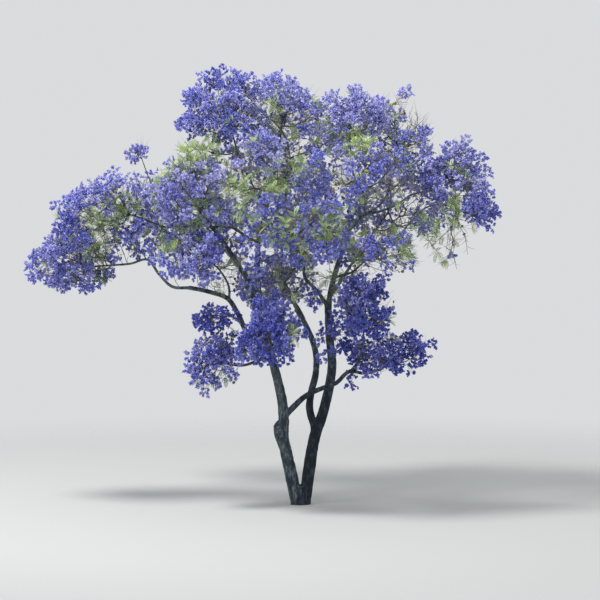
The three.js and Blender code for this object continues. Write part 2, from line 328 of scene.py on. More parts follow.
def makeMesh(name, corners, faces, smooth=False):
    mesh = bpy.data.meshes.new(name)
    mesh.vertices.add(len(corners))
    mesh.vertices.foreach_set("co", np.ascontiguousarray(corners, np.float32).ravel())
    mesh.loops.add(faces.size)
    mesh.loops.foreach_set("vertex_index", np.ascontiguousarray(faces, np.int32).ravel())
    mesh.polygons.add(len(faces))
    starts = np.arange(0, faces.size, faces.shape[1], dtype=np.int32)
    mesh.polygons.foreach_set("loop_start", starts)
    mesh.polygons.foreach_set("use_smooth", np.full(len(faces), smooth))
    mesh.update(calc_edges=True)
    mesh.validate()
    return mesh


def addPiece(name, mesh, material, replaced=()):
    piece = bpy.data.objects.new(name, mesh)
    bpy.context.scene.collection.objects.link(piece)
    mesh.materials.append(material)
    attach(piece, tree["body"])
    if replaced:
        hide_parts(*replaced)
    print(name, len(mesh.polygons), "faces")
    return piece


# The camera stands far off and a little above, and looks slightly down
camera = {
    "place": (0.0, -61.0, 8.0),
    "pitchDown": 3.969,
    "lens": 200.0,
    "sensor": 36.0,
    "sight": 500.0,
}


def addCamera():
    data = bpy.data.cameras.new("camera")
    data.lens = camera["lens"]
    data.sensor_width = camera["sensor"]
    data.clip_end = camera["sight"]
    seen = bpy.data.objects.new("camera", data)
    seen.location = camera["place"]
    seen.rotation_euler = (math.radians(90 - camera["pitchDown"]), 0.0, 0.0)
    bpy.context.scene.collection.objects.link(seen)
    bpy.context.scene.camera = seen


addCamera()
print("camera placed")


# Limbs read from the frame

limb = {
    "stemSides": 8,
    "boughSides": 5,
    "digits": 5,  # corners whose places agree this far are one
    "finePoints": 24,  # of a curve between two bends
    "fewestPoints": 4,
    "step": 0.05,  # between two points of a limb's path
    "reach": 1.2,  # how far behind its first ring a limb may join its parent
    "overlap": 0.05,  # and how far ahead of it
    "behindCost": 0.25,  # of a joint further back
    "barredCost": 10.0,  # of a joint out of reach
    "sway": 0.012,
    "swayLength": 0.55,
    "swayFade": 0.3,  # the swaying fades out this far from each end
    "swayApart": 7.3,  # between the noises of two axes
}

knob = {
    "rim": 6,  # corners round the stub's end
    "bulge": np.array([-0.03, -0.01, 0.02]),
    "radii": [0.07, 0.092, 0.085],
    "step": 0.02,
}


def inThrees(items, key, each=3, kind=np.float32):
    # a value of a mesh's points or corners, each numbers long, in rows of three
    found = np.empty(len(items) * each, kind)
    items.foreach_get(key, found)
    return found.reshape(-1, 3)


def nodeTriangles(name):
    # a node's corners, and the three corners of each of its triangles
    mesh = frame["nodes"][name].data
    return inThrees(mesh.vertices, "co"), inThrees(mesh.loops, "vertex_index", 1, np.int32)


def weldedNode(name):
    # a node's corners with doubles merged, and which corners share an edge
    places, triangles = nodeTriangles(name)
    places = np.round(places, limb["digits"])
    corners, merged = np.unique(places, axis=0, return_inverse=True)
    faces = merged.ravel()[triangles]
    linked = np.zeros((len(corners), len(corners)), bool)
    linked[faces, np.roll(faces, 1, axis=1)] = True
    return corners.astype(float), linked | linked.T


def stepsFrom(linked, start):
    # how many edges each corner lies from the start
    steps = np.full(len(linked), -1)
    steps[start] = 0
    edge = np.arange(len(linked)) == start
    level = 0
    while edge.any():
        level += 1
        edge = linked[edge].any(axis=0) & (steps < 0)
        steps[edge] = level
    return steps


def curveThrough(points, step):
    # A Catmull-Rom curve: between p1 and p2 it is
    # (2 p1 + (p2 - p0) t + (2 p0 - 5 p1 + 4 p2 - p3) t^2 + (3 p1 - p0 - 3 p2 + p3) t^3) / 2,
    # walked at even steps.
    ends = np.concatenate([[2 * points[0] - points[1]], points, [2 * points[-1] - points[-2]]])
    t = np.linspace(0, 1, limb["finePoints"], endpoint=False)[None, :, None]
    p0, p1, p2, p3 = (ends[i : len(ends) - 3 + i, None] for i in range(4))
    bend = 2 * p0 - 5 * p1 + 4 * p2 - p3
    curl = 3 * p1 - p0 - 3 * p2 + p3
    fine = (2 * p1 + (p2 - p0) * t + bend * t**2 + curl * t**3) / 2
    fine = np.concatenate([fine.reshape(-1, points.shape[1]), points[-1:]])
    walked = np.concatenate([[0], np.cumsum(np.linalg.norm(np.diff(fine[:, :3], axis=0), axis=1))])
    count = max(limb["fewestPoints"], int(round(walked[-1] / step)) + 1)
    even = np.linspace(0, walked[-1], count)
    return np.stack([np.interp(even, walked, column) for column in fine.T], axis=1)


def farPoint(name, corners, linked, root):
    # The pointed end of a limb: of the corners that one whole ring surrounds, the one from which
    # the most whole rings follow each other, and then the furthest from the root
    sides = limb["stemSides"] if name.endswith("stem") else limb["boughSides"]
    best = (0, 0.0, 0)
    for corner in np.flatnonzero(linked.sum(axis=1) == sides):
        counts = np.bincount(stepsFrom(linked, corner))
        whole = np.argmax(np.append(counts[1:], 0) != sides)
        away = np.linalg.norm(corners[corner] - corners[root])
        best = max(best, (whole, away, corner))
    return best[2], best[0]


def limbPath(name, parent):
    # Root to tip as rows of x, y, z and radius: the rings of the node's mesh, found by counting
    # edges from its far point, then the place on the parent's path that they lead back to
    corners, linked = weldedNode(name)
    if parent is None:
        root = np.argmin(corners[:, 2])
    else:
        root = np.argmin(np.linalg.norm(corners[:, None] - parent[None, :, :3], axis=2).min(axis=1))
    tip, whole = farPoint(name, corners, linked, root)
    ringOf = stepsFrom(linked, tip)
    rings = []
    for ring in range(1, whole + 1):
        around = corners[ringOf == ring]
        middle = around.mean(axis=0)
        rings.append([*middle, np.linalg.norm(around - middle, axis=1).mean()])
    rings = np.array(rings[::-1])
    ahead = rings[1, :3] if whole > 1 else corners[tip]
    back = unit(rings[0, :3] - ahead)
    if parent is None:
        join = rings[0, :3] - back * rings[0, 2] / back[2]
    else:
        away = parent[:, :3] - rings[0, :3]
        along = away @ back
        off = np.linalg.norm(away - along[:, None] * back, axis=1)
        cost = off + limb["behindCost"] * np.abs(along)
        cost += limb["barredCost"] * ((along < -limb["overlap"]) | (along > limb["reach"]))
        join = parent[np.argmin(cost), :3]
    growth = max(rings[0, 3] - rings[min(1, whole - 1), 3], 0.0)
    first = [*join, rings[0, 3] + growth]
    return curveThrough(np.array([first, *rings]), limb["step"])


def knobPath(name, parent):
    # The stub is too short for whole rings: it runs from its parent's path to its cut top
    corners, linked = weldedNode(name)
    upward = corners[np.argsort(corners[:, 2])]
    top = upward[-knob["rim"] :].mean(axis=0)
    low = upward[: knob["rim"]].mean(axis=0)
    start = parent[np.argmin(np.linalg.norm(parent[:, :3] - low, axis=1)), :3]
    points = np.array([start, (start + top) / 2 + knob["bulge"], top])
    return curveThrough(np.column_stack([points, knob["radii"]]), knob["step"])


def swayed(path, stage):
    # A limb's path, bent a little to and fro by noise along its length. The bends fade out
    # towards both of its ends.
    length = np.arange(len(path)) * limb["step"]
    window = np.minimum(1, np.minimum(length, length[-1] - length) / limb["swayFade"])
    moved = path.copy()
    spots = np.full((len(path), 3), 0.5)
    spots[:, 0] = length / limb["swayLength"]
    for axis in range(3):
        spots[:, 1] = limb["swayApart"] * axis
        moved[:, axis] += limb["sway"] * window * smoothNoise(spots, stage + axis)
    return moved


limbs = {}
for number, (name, parentName) in enumerate(limbFrom.items()):
    parent = limbs[parentName] if parentName else None
    if name == "cut_stub":
        limbs[name] = knobPath(name, parent)
        continue
    path = limbPath(name, parent)
    limbs[name] = swayed(path, stages["sway"] + 3 * number) if parentName else path
print("limbs read:", len(limbs))


# Bark: the stems and the thick boughs grow into each other, so they are one skin. The thinner
# boughs are sleeves that start inside it.

bark = {
    "voxel": 0.0125,  # size of the cubes that the thick limbs are fused on
    "softness": 0.5,  # of each smoothing, and how many there are
    "smooth": 3,
    "fused": [
        "left_stem", "right_stem", "middle_stem", "cut_stub", "cross_bough", "centre_bough",
        "left_bough", "long_left_bough", "right_bough",
    ],
    "fusedStep": 0.03,
    "sides": 20,
    "sleeveSides": 12,
    "sleeveStep": 0.022,
    "crackWidth": 0.027,  # between two cracks, round the limb
    "crackLength": 0.15,  # and along it
    "crackShift": 31.7,
    "crackEdge": 0.22,  # of the noise, from a crack to a whole plate
    "fineShare": 0.35,  # of finer cracks, and how much finer they are
    "fineScale": 2.3,
    "level": 0.6,  # of the plates, where the skin neither rises nor sinks
    "lumpSize": 0.09,
    "lumps": 0.06,  # their height, as a share of the limb's radius
    "depth": 0.1,  # of the cracks, as a share of the limb's radius
    "deepest": 0.009,
    "swell": 0.008,  # added to the thick limbs' radii, because the smoothing thins them
    "collar": 0.35,  # how much a bough swells where it leaves its parent
    "collarReach": 1.6,  # in radii of the bough
    "footTop": 0.34,
    "footRadius": 0.185,
    "footDepth": 0.86,
    "footWaist": 0.6,
    "footRidges": 5,
    "ridgeSwell": 0.1,
    "footSides": 60,
    "footRings": 14,
    "footBark": (0.3, 0.46),  # heights between which the foot's cracks give way to the stems'
    "sunk": 0.05,  # how far the foot runs below the ground before it is cut flat
    "atOnce": 4000,  # places measured together
}

barkLook = {
    "dark": (28, 39, 52),
    "middle": (66, 80, 93),
    "pale": (126, 138, 143),
    "crack": (17, 24, 33),
    "roughness": 0.92,
    "crownFrom": (1.5, 3.3),  # heights between which the bark turns paler: painted light on the crown's boughs, painted shade on the stems below
    # painted light and shade: how much paler the crown's boughs are, how much darker the right stem is
    # than the left, and how wide that change is
    "crownPaintedLight": 0.19,
    "sidePaintedShade": 0.14,
    "sideWidth": 0.12,
    "stops": (0.34, 0.55, 0.78),  # where the dark, middle and pale tints stand
    "patches": (15.0, 6.0, (1, 1, 0.4)),  # scale, detail and stretch of each noise
    "grain": (38.0, 5.0, (1, 1, 0.24)),
    "grainEdge": 9.0,
    "crackDepth": 0.55,
    "tintShare": (0.7, 0.3),  # against the cracks' colour: on the plates more, and everywhere
    "bump": (0.012, 0.8),  # height and strength
}


def footSurface():
    # The root flare: radius (waist + (1 - waist)(1 - u)^2)(1 + swell (1 - u) cos(ridges a)) at
    # height u and turn a, wider across than deep
    u = np.linspace(-bark["sunk"] / bark["footTop"], 1, bark["footRings"])[:, None]
    a = (2 * np.pi * np.arange(bark["footSides"]) / bark["footSides"])[None]
    down = np.clip(1 - u, 0, 1)
    narrow = bark["footWaist"] + (1 - bark["footWaist"]) * down**2
    ridges = 1 + bark["ridgeSwell"] * down * np.cos(bark["footRidges"] * a)
    radius = bark["footRadius"] * narrow * ridges
    x = radius * np.cos(a)
    y = radius * bark["footDepth"] * np.sin(a)
    z = u * bark["footTop"] + 0 * a
    corners = np.stack([x, y, z], axis=-1).reshape(-1, 3)
    corners = np.concatenate([corners, [[0, 0, z.min()], [0, 0, z.max()]]])
    return corners, tubeFaces(bark["footRings"], bark["footSides"])


def sleeve(path, sides, step, collar, swell=0.0):
    # A limb's tube: its radius swells by 1 + collar exp(-(s / reach)^2) at the length s from its
    # root, and by the same little everywhere
    fine = curveThrough(path, step)
    length = np.arange(len(fine)) * step
    reach = bark["collarReach"] * fine[0, 3]
    radius = swell + fine[:, 3] * (1 + collar * np.exp(-((length / reach) ** 2)))
    return tubes(fine[None, :, :3], radius[None], sides)


def downToGround(path):
    # a stem's path carried on below the ground cut
    ahead = path[0, :3] - path[1, :3]
    below = path[0].copy()
    below[:3] += ahead * bark["sunk"] / -ahead[2]
    return np.concatenate([[below], path])


def nearestLimb(places):
    # For each place: the nearest point of any limb's path, how far along the limbs it lies, the
    # way the limb runs there, and its radius
    rows = list(limbs.values())
    spots = np.concatenate([path[:, :3] for path in rows])
    ways = np.concatenate([unit(np.gradient(path[:, :3], axis=0)) for path in rows])
    radii = np.concatenate([path[:, 3] for path in rows])
    lengths = np.concatenate([np.linspace(0, len(path) * limb["step"], len(path)) for path in rows])
    found = np.empty(len(places), int)
    for start in range(0, len(places), bark["atOnce"]):
        part = places[start : start + bark["atOnce"]]
        away = ((part[:, None] - spots[None]) ** 2).sum(axis=2) - (radii**2)[None]
        found[start : start + len(part)] = away.argmin(axis=1)
    return spots[found], lengths[found], ways[found], radii[found]


def barkPlates(away, way, length):
    # 0 in a crack to 1 on a plate: min(|n| / crackEdge, 1), with n a noise stretched along the limb
    along = (away * way).sum(axis=1)
    across = away - along[:, None] * way
    stretched = across / bark["crackWidth"] + way * ((length + along) / bark["crackLength"])[:, None]
    plates = smoothNoise(stretched + bark["crackShift"], stages["plates"])
    fine = smoothNoise(stretched * bark["fineScale"], stages["finePlates"])
    return np.minimum(np.abs(plates + bark["fineShare"] * fine) / bark["crackEdge"], 1.0)


def barkRelief(places, normals):
    # Long cracks between rough plates move the skin out by depth (plates - level), and a coarser
    # noise swells it a little. The foot's cracks run upright.
    middle, length, way, radius = nearestLimb(places)
    ridge = barkPlates(places - middle, way, length)
    upright = barkPlates(places, tree["up"], np.zeros(len(places)))
    ridge = upright + easedBetween(places[:, 2], *bark["footBark"]) * (ridge - upright)
    lumps = bark["lumps"] * radius * smoothNoise(places / bark["lumpSize"], stages["lumps"])
    depth = np.minimum(bark["depth"] * radius, bark["deepest"])
    return places + normals * (depth * (ridge - bark["level"]) + lumps)[:, None], ridge


def paintedBarkLight(places):
    # Painted light and shade on the bark: with s eased from 0 at the stems to 1 in the crown it is
    # s crownPaintedLight - (1 - s) sidePaintedShade tanh(x / sideWidth), so the crown is painted lit
    # and the left stem painted lit, paler than the shaded right
    share = easedBetween(places[:, 2], *barkLook["crownFrom"])
    side = np.tanh(places[:, 0] / barkLook["sideWidth"])
    return share * barkLook["crownPaintedLight"] - (1 - share) * barkLook["sidePaintedShade"] * side


def withRelief(mesh):
    # moves a mesh's corners by the bark's relief and keeps how deep in a crack each one lies, and the
    # bark's painted light and shade
    places = inThrees(mesh.vertices, "co").astype(float)
    normals = inThrees(mesh.vertices, "normal").astype(float)
    moved, ridge = barkRelief(places, normals)
    mesh.vertices.foreach_set("co", moved.astype(np.float32).ravel())
    # the second layer is painted light and shade, not the bark's own colour
    for name, values in (("crack", 1 - ridge), ("paintedLight", paintedBarkLight(moved))):
        layer = mesh.attributes.new(name, "FLOAT", "POINT")
        layer.data.foreach_set("value", values.astype(np.float32))
    mesh.update()
    return mesh


def fusedStems():
    # The thick limbs as overlapping tubes, joined on a grid of small cubes and smoothed, so that
    # their forks flow together, then cut flat at the ground
    parts = [footSurface()]
    for name in bark["fused"]:
        path = limbs[name]
        collar = bark["collar"] if limbFrom[name] else 0.0
        path = path if limbFrom[name] else downToGround(path)
        parts.append(sleeve(path, bark["sides"], bark["fusedStep"], collar, bark["swell"]))
    rough = bpy.data.objects.new("rough", makeMesh("rough", *joined(parts)))
    bpy.context.scene.collection.objects.link(rough)
    fuse = rough.modifiers.new("fuse", "REMESH")
    fuse.mode = "VOXEL"
    fuse.voxel_size = bark["voxel"]
    soften = rough.modifiers.new("soften", "SMOOTH")
    soften.factor = bark["softness"]
    soften.iterations = bark["smooth"]
    depsgraph = bpy.context.evaluated_depsgraph_get()
    mesh = bpy.data.meshes.new_from_object(rough.evaluated_get(depsgraph), depsgraph=depsgraph)
    bpy.data.objects.remove(rough)
    withRelief(mesh)
    cutter = bmesh.new()
    cutter.from_mesh(mesh)
    whole = cutter.verts[:] + cutter.edges[:] + cutter.faces[:]
    ground = {"plane_co": (0, 0, 0), "plane_no": tree["up"]}
    bmesh.ops.bisect_plane(cutter, geom=whole, **ground, clear_inner=True)
    rim = [edge for edge in cutter.edges if edge.is_boundary]
    bmesh.ops.holes_fill(cutter, edges=rim)
    bmesh.ops.triangulate(cutter, faces=cutter.faces[:])
    cutter.to_mesh(mesh)
    cutter.free()
    mesh.polygons.foreach_set("use_smooth", np.full(len(mesh.polygons), True))
    mesh.name = "barkStems"
    return mesh


def boughSleeves():
    parts = [
        sleeve(path, bark["sleeveSides"], bark["sleeveStep"], bark["collar"])
        for name, path in limbs.items()
        if name not in bark["fused"]
    ]
    return withRelief(makeMesh("barkBoughs", *joined(parts), smooth=True))


def rampNode(nodes, stops, factor, links):
    # a colour ramp with the stops (place, colour)
    stops = list(stops)
    ramp = nodes.new("ShaderNodeValToRGB")
    while len(ramp.color_ramp.elements) < len(stops):
        ramp.color_ramp.elements.new(0.5)
    for element, (place, colour) in zip(ramp.color_ramp.elements, stops):
        element.position = place
        element.color = (*linear(colour), 1.0)
    links.new(factor, ramp.inputs["Fac"])
    return ramp.outputs["Color"]


def linear(colour):
    # a screen colour, 0 to 255, as light: c / 12.92 up to 0.04045, else ((c + 0.055) / 1.055)^2.4
    c = np.asarray(colour, float) / 255
    return np.where(c <= 0.04045, c / 12.92, ((c + 0.055) / 1.055) ** 2.4)


def newMaterial(name, roughness):
    material = bpy.data.materials.new(name)
    material.use_nodes = True
    shader = material.node_tree.nodes["Principled BSDF"]
    shader.inputs["Roughness"].default_value = roughness
    return material, material.node_tree.nodes, material.node_tree.links, shader


def noiseNode(nodes, links, where, scale, detail, stretch=(1, 1, 1)):
    mapping = nodes.new("ShaderNodeMapping")
    mapping.inputs["Scale"].default_value = stretch
    links.new(where, mapping.inputs["Vector"])
    noise = nodes.new("ShaderNodeTexNoise")
    noise.inputs["Scale"].default_value = scale
    noise.inputs["Detail"].default_value = detail
    links.new(mapping.outputs["Vector"], noise.inputs["Vector"])
    return noise.outputs["Fac"]


def mathNode(nodes, links, operation, *values):
    # one step of arithmetic on the values of sockets and on plain numbers
    node = nodes.new("ShaderNodeMath")
    node.operation = operation
    for socket, value in zip(node.inputs, values):
        if isinstance(value, float):
            socket.default_value = value
        else:
            links.new(value, socket)
    return node.outputs["Value"]


def bumpNode(nodes, links, height, distance, strength, shader):
    bump = nodes.new("ShaderNodeBump")
    bump.inputs["Distance"].default_value = distance
    bump.inputs["Strength"].default_value = strength
    links.new(height, bump.inputs["Height"])
    links.new(bump.outputs["Normal"], shader.inputs["Normal"])


def attributeNode(nodes, name):
    node = nodes.new("ShaderNodeAttribute")
    node.attribute_name = name
    return node.outputs["Fac"]


def barkMaterial():
    # The tints follow patches of noise and the painted light and shade of paintedBarkLight. The plates,
    # which show as colour and as relief, are min(grainEdge |grain - 1/2|, 1) (1 - crackDepth crack).
    material, nodes, links, shader = newMaterial("fissuredBark", barkLook["roughness"])
    where = nodes.new("ShaderNodeTexCoord").outputs["Object"]
    patches = noiseNode(nodes, links, where, *barkLook["patches"])
    # the tone attribute adds painted light and shade to the bark's patches
    patchesAndPaintedLight = mathNode(nodes, links, "ADD", patches, attributeNode(nodes, "paintedLight"))
    tints = [barkLook["dark"], barkLook["middle"], barkLook["pale"]]
    colour = rampNode(nodes, zip(barkLook["stops"], tints), patchesAndPaintedLight, links)
    crack = attributeNode(nodes, "crack")
    grain = noiseNode(nodes, links, where, *barkLook["grain"])
    away = mathNode(nodes, links, "SUBTRACT", grain, 0.5)
    away = mathNode(nodes, links, "ABSOLUTE", away)
    narrow = mathNode(nodes, links, "MULTIPLY", away, barkLook["grainEdge"])
    narrow = mathNode(nodes, links, "MINIMUM", narrow, 1.0)
    wide = mathNode(nodes, links, "MULTIPLY_ADD", crack, -barkLook["crackDepth"], 1.0)
    plates = mathNode(nodes, links, "MULTIPLY", narrow, wide)
    share = mathNode(nodes, links, "MULTIPLY_ADD", plates, *barkLook["tintShare"])
    mixed = nodes.new("ShaderNodeMix")
    mixed.data_type = "RGBA"
    links.new(share, mixed.inputs["Factor"])
    mixed.inputs["A"].default_value = (*linear(barkLook["crack"]), 1.0)
    links.new(colour, mixed.inputs["B"])
    links.new(mixed.outputs["Result"], shader.inputs["Base Color"])
    bumpNode(nodes, links, plates, *barkLook["bump"], shader)
    return material


bodyBark = barkMaterial()
stemNodes = ["trunk_foot", *bark["fused"]]
boughNodes = [name for name in limbs if name not in stemNodes]
addPiece("barkStems", fusedStems(), bodyBark, stemNodes)
addPiece("barkBoughs", boughSleeves(), bodyBark, boughNodes)
print("bark grown")


# Boughs and twigs of the masses

growth = {
    "skinPlaces": 2200,  # chance places on each mass's surface
    "trials": 6500,  # chance places inside it
    "innerGap": 0.42,  # between two twig ends further in
    "outerDepth": (0.07, 0.3),  # how deep under the skin the outer layer's sprays start
    "boxGap": 0.21,  # and how far inside the whole crown's box
    "clearOf": 0.28,  # no outer spray where another mass lies this near in front of it
    "thinned": 4,  # every so many places of a skin are enough to tell that
    "hiddenFrom": 0.02,
    "limbNear": 0.16,  # a limb feeds a mass where it comes this near to a place inside it
    "fewestFeeders": 4,
    "thickestFeeder": (0.05, 0.085),  # in a mass, and in a hollow
    "turnCost": 0.45,  # how much a branch prefers to run straight on
    "lengthCost": 0.22,  # and to keep its whole way from the limb short
    "tipRadius": 0.0045,
    "thickening": 2.5,  # a branch's radius^thickening is the sum of those that it carries
    "ownLoad": 0.35,  # what each branch adds to that sum, when an end adds 1 more
    "smoothing": 2,
    "smoothShare": 0.5,  # of a fork's place that comes from its neighbours
    "rings": 5,
    "sides": 6,
    "twigSides": 3,
    "leave": (0.55, 0.75),  # shares of its parent's way and of the straight way
    "arrive": (0.4, 0.22),  # shares of its own way and of up, next to the straight way
    "wobble": 0.045,
    "wobbleSize": 0.13,
    "wobbleApart": 9.1,  # between the noises of two axes
    "rootSwell": 1.12,
    "endSwell": 1.05,
    "taper": 0.75,  # of a branch that carries no other
    "barkFrom": 0.0075,  # radius from which a branch has the boughs' dark bark
    "sharedStretch": 0.38,  # of the way to its twigs that a limb's twigs run as one
}

shoot = {
    "count": 300,
    "above": 2.6,
    "thickestLimb": 0.075,
    "length": (0.3, 0.75),
    "nearMass": 0.2,  # they end no further than this from a mass
    "thinned": 8,
    "along": 0.35,
    "upward": 0.5,
    "radius": 0.0055,
    "height": 0.4,  # they are tinted as at this height of a mass
}

sideTwig = {
    "each": 2,  # on every branch
    "length": (0.1, 0.36),
    "turn": 1.1,
    "upward": 0.25,
    "bend": 0.2,
    "thickest": 0.0045,
    "share": 0.8,  # of its branch's radius
    "taper": (1.0, 0.7),
}

outerLayer, innerLayer, shootLayer, forkLayer = 0, 1, 2, 3

# The corners of the box that holds every place where a twig may end
boxLow = np.array(cadLow) + growth["boxGap"]
boxHigh = np.array(cadHigh) - growth["boxGap"]


def massSkin(name, random):
    # Places spread evenly over a node's surface, and which way is out at each: on each triangle
    # chosen by its area, a + u (b - a) + v (c - a) with u + v folded back under 1
    places, triangles = nodeTriangles(name)
    a, b, c = places.astype(float)[triangles].transpose(1, 0, 2)
    out = np.cross(b - a, c - a)
    area = np.linalg.norm(out, axis=1)
    pick = random.choice(len(area), growth["skinPlaces"], p=area / area.sum())
    u, v = random.random((2, growth["skinPlaces"], 1))
    fold = u + v > 1
    u, v = np.where(fold, 1 - u, u), np.where(fold, 1 - v, v)
    return a[pick] + u * (b[pick] - a[pick]) + v * (c[pick] - a[pick]), unit(out[pick])


def hollowSkin(space, random):
    # places on the ellipsoid middle + reach times a chance way, and the way over reach, which is out
    ways = unit(random.standard_normal((growth["skinPlaces"], 3)))
    reach = np.array(space["reach"])
    return space["middle"] + reach * ways, unit(ways / reach)


def nearest(places, others):
    # the index of the nearest of the others to each place, and its distance
    square = (places**2).sum(axis=1)[:, None] + (others**2).sum(axis=1)[None] - 2 * places @ others.T
    index = square.argmin(axis=1)
    return index, np.linalg.norm(places - others[index], axis=1)


def spacedOut(places, gap, random):
    # Keeps places at least a gap apart: each in a shuffled row stays if no earlier kept one is near
    kept = []
    blocked = np.zeros(len(places), bool)
    for index in random.permutation(len(places)):
        if not blocked[index]:
            kept.append(index)
            blocked |= np.linalg.norm(places - places[index], axis=1) < gap
    return np.array(kept, int)


def placesInside(name, random):
    # Chance places inside a mass, with their depth under its skin and the way out. A place is
    # inside where the nearest bit of skin faces away from it.
    skin, out = skins[name]
    low = np.maximum(skin.min(axis=0), boxLow)
    high = np.minimum(skin.max(axis=0), boxHigh)
    tried = random.uniform(low, high, (growth["trials"], 3))
    index, depth = nearest(tried, skin)
    inside = ((skin[index] - tried) * out[index]).sum(axis=1) > 0
    return tried[inside], depth[inside], out[index[inside]]


def withinAnother(name, places):
    # whether each place lies in a mass other than this one
    hidden = np.zeros(len(places), bool)
    for other in masses:
        skin, out = skins[other]
        near = ((places > skin.min(axis=0)) & (places < skin.max(axis=0))).all(axis=1)
        if other == name or not near.any():
            continue
        skin, out = skin[:: growth["thinned"]], out[:: growth["thinned"]]
        index = nearest(places[near], skin)[0]
        within = ((skin[index] - places[near]) * out[index]).sum(axis=1) > growth["hiddenFrom"]
        hidden[np.flatnonzero(near)[within]] = True
    return hidden


def feeders(inside, thickest):
    # The points of the thinner limbs' paths that run through a mass, their ways and their radii.
    # Where none does, the limb points nearest to it feed it.
    gap = nearest(limbPoints[:, :3], inside)[1]
    chosen = np.flatnonzero((limbPoints[:, 3] < thickest) & (gap < growth["limbNear"]))
    if len(chosen) == 0:
        chosen = np.argsort(gap)[: growth["fewestFeeders"]]
    return limbPoints[chosen]


def grow(starts, startWays, ends):
    # The branching rule: of all the ends not yet reached, the one that costs least is joined to the
    # branch that it costs least from. The cost is the gap times 1 + turnCost (1 - cos of the turn),
    # plus lengthCost times the whole way back to the limb.
    places = np.concatenate([starts, ends])
    ways = np.concatenate([startWays, np.zeros_like(ends)])
    parents = np.full(len(places), -1)
    walked = np.zeros(len(places))
    cost = np.full(len(places), np.inf)
    reached = np.arange(len(places)) < len(starts)
    order = []

    def reachFrom(index):
        away = places - places[index]
        gap = np.linalg.norm(away, axis=1)
        straight = (away @ ways[index]) / np.maximum(gap, tree["tiny"])
        price = gap * (1 + growth["turnCost"] * (1 - straight)) + growth["lengthCost"] * walked[index]
        nearer = ~reached & (price < cost)
        cost[nearer] = price[nearer]
        parents[nearer] = index

    for index in range(len(starts)):
        reachFrom(index)
    while not reached.all():
        index = np.argmin(np.where(reached, np.inf, cost))
        reached[index] = True
        step = places[index] - places[parents[index]]
        walked[index] = walked[parents[index]] + np.linalg.norm(step)
        ways[index] = unit(step)
        order.append(index)
        reachFrom(index)
    return places, ways, parents, order


def withForks(places, ways, parents, order, first):
    # Where a limb point carries several branches, they run as one for the first stretch: a fork
    # stands at sharedStretch of the way to their middle
    children = np.bincount(parents[first:], minlength=len(places))
    shared = np.flatnonzero(children[:first] > 1)
    total = np.zeros_like(places)
    np.add.at(total, parents[first:], places[first:])
    middle = total[shared] / children[shared, None]
    step = growth["sharedStretch"] * (middle - places[shared])
    forkOf = np.full(len(places), -1)
    forkOf[shared] = len(places) + np.arange(len(shared))
    moved = np.where(parents >= 0, forkOf[parents], -1)
    return (
        np.concatenate([places, places[shared] + step]),
        np.concatenate([ways, unit(step)]),
        np.concatenate([np.where(moved >= 0, moved, parents), shared]),
        [*forkOf[shared], *order],
    )


def branchesOf(number, name):
    # One mass's branching. Where its twigs end: the places of its outer layer, and a few deeper in.
    random = draws(stages["branches"] + number)
    inside, depth, way = placesInside(name, random)
    if name in hollows:
        clear = ~withinAnother(name, inside)
        inside, depth, way = inside[clear], depth[clear], way[clear]
    hidden = withinAnother(name, inside + growth["clearOf"] * way)
    deepEnough = depth > growth["outerDepth"][0]
    outer = deepEnough & (depth < growth["outerDepth"][1]) & ~hidden
    shell = np.flatnonzero(outer)
    shell = shell[spacedOut(inside[shell], spaces[name]["gap"], random)]
    core = np.flatnonzero(~outer & deepEnough)
    core = core[spacedOut(inside[core], growth["innerGap"], random)]
    ends = np.concatenate([shell, core])
    starts = feeders(inside, growth["thickestFeeder"][name in hollows])
    first = len(starts)
    places, ways, parents, order = grow(starts[:, :3], starts[:, 4:], inside[ends])
    places, ways, parents, order = withForks(places, ways, parents, order, first)
    forked = len(places) - first - len(ends)
    children = np.bincount(parents[first:], minlength=len(places))
    carried = growth["ownLoad"] + (children == 0)
    for index in order[::-1]:
        carried[parents[index]] += carried[index]
    radii = growth["tipRadius"] * carried ** (1 / growth["thickening"])
    radii[:first] = starts[:, 3]
    forks = np.flatnonzero(children[first:]) + first
    stay, move = 1 - growth["smoothShare"], growth["smoothShare"] / 2
    for _ in range(growth["smoothing"]):
        pull = np.zeros_like(places)
        np.add.at(pull, parents[first:], places[first:])
        middle = pull[forks] / children[forks, None]
        places[forks] = stay * places[forks] + move * places[parents[forks]] + move * middle
    ways[first:] = unit(places[first:] - places[parents[first:]])
    low, high = skins[name][0][:, 2].min(), skins[name][0][:, 2].max()
    layers = [outerLayer, outerLayer, innerLayer, forkLayer]
    return {
        "place": places,
        "way": ways,
        "out": np.concatenate([starts[:, 4:], way[ends], ways[len(places) - forked :]]),
        "radius": radii,
        "mass": np.full(len(places), number),
        "height": (places[:, 2] - low) / (high - low),
        "layer": np.repeat(layers, [first, len(shell), len(core), forked]),
        "parent": parents,
        "first": first,
    }


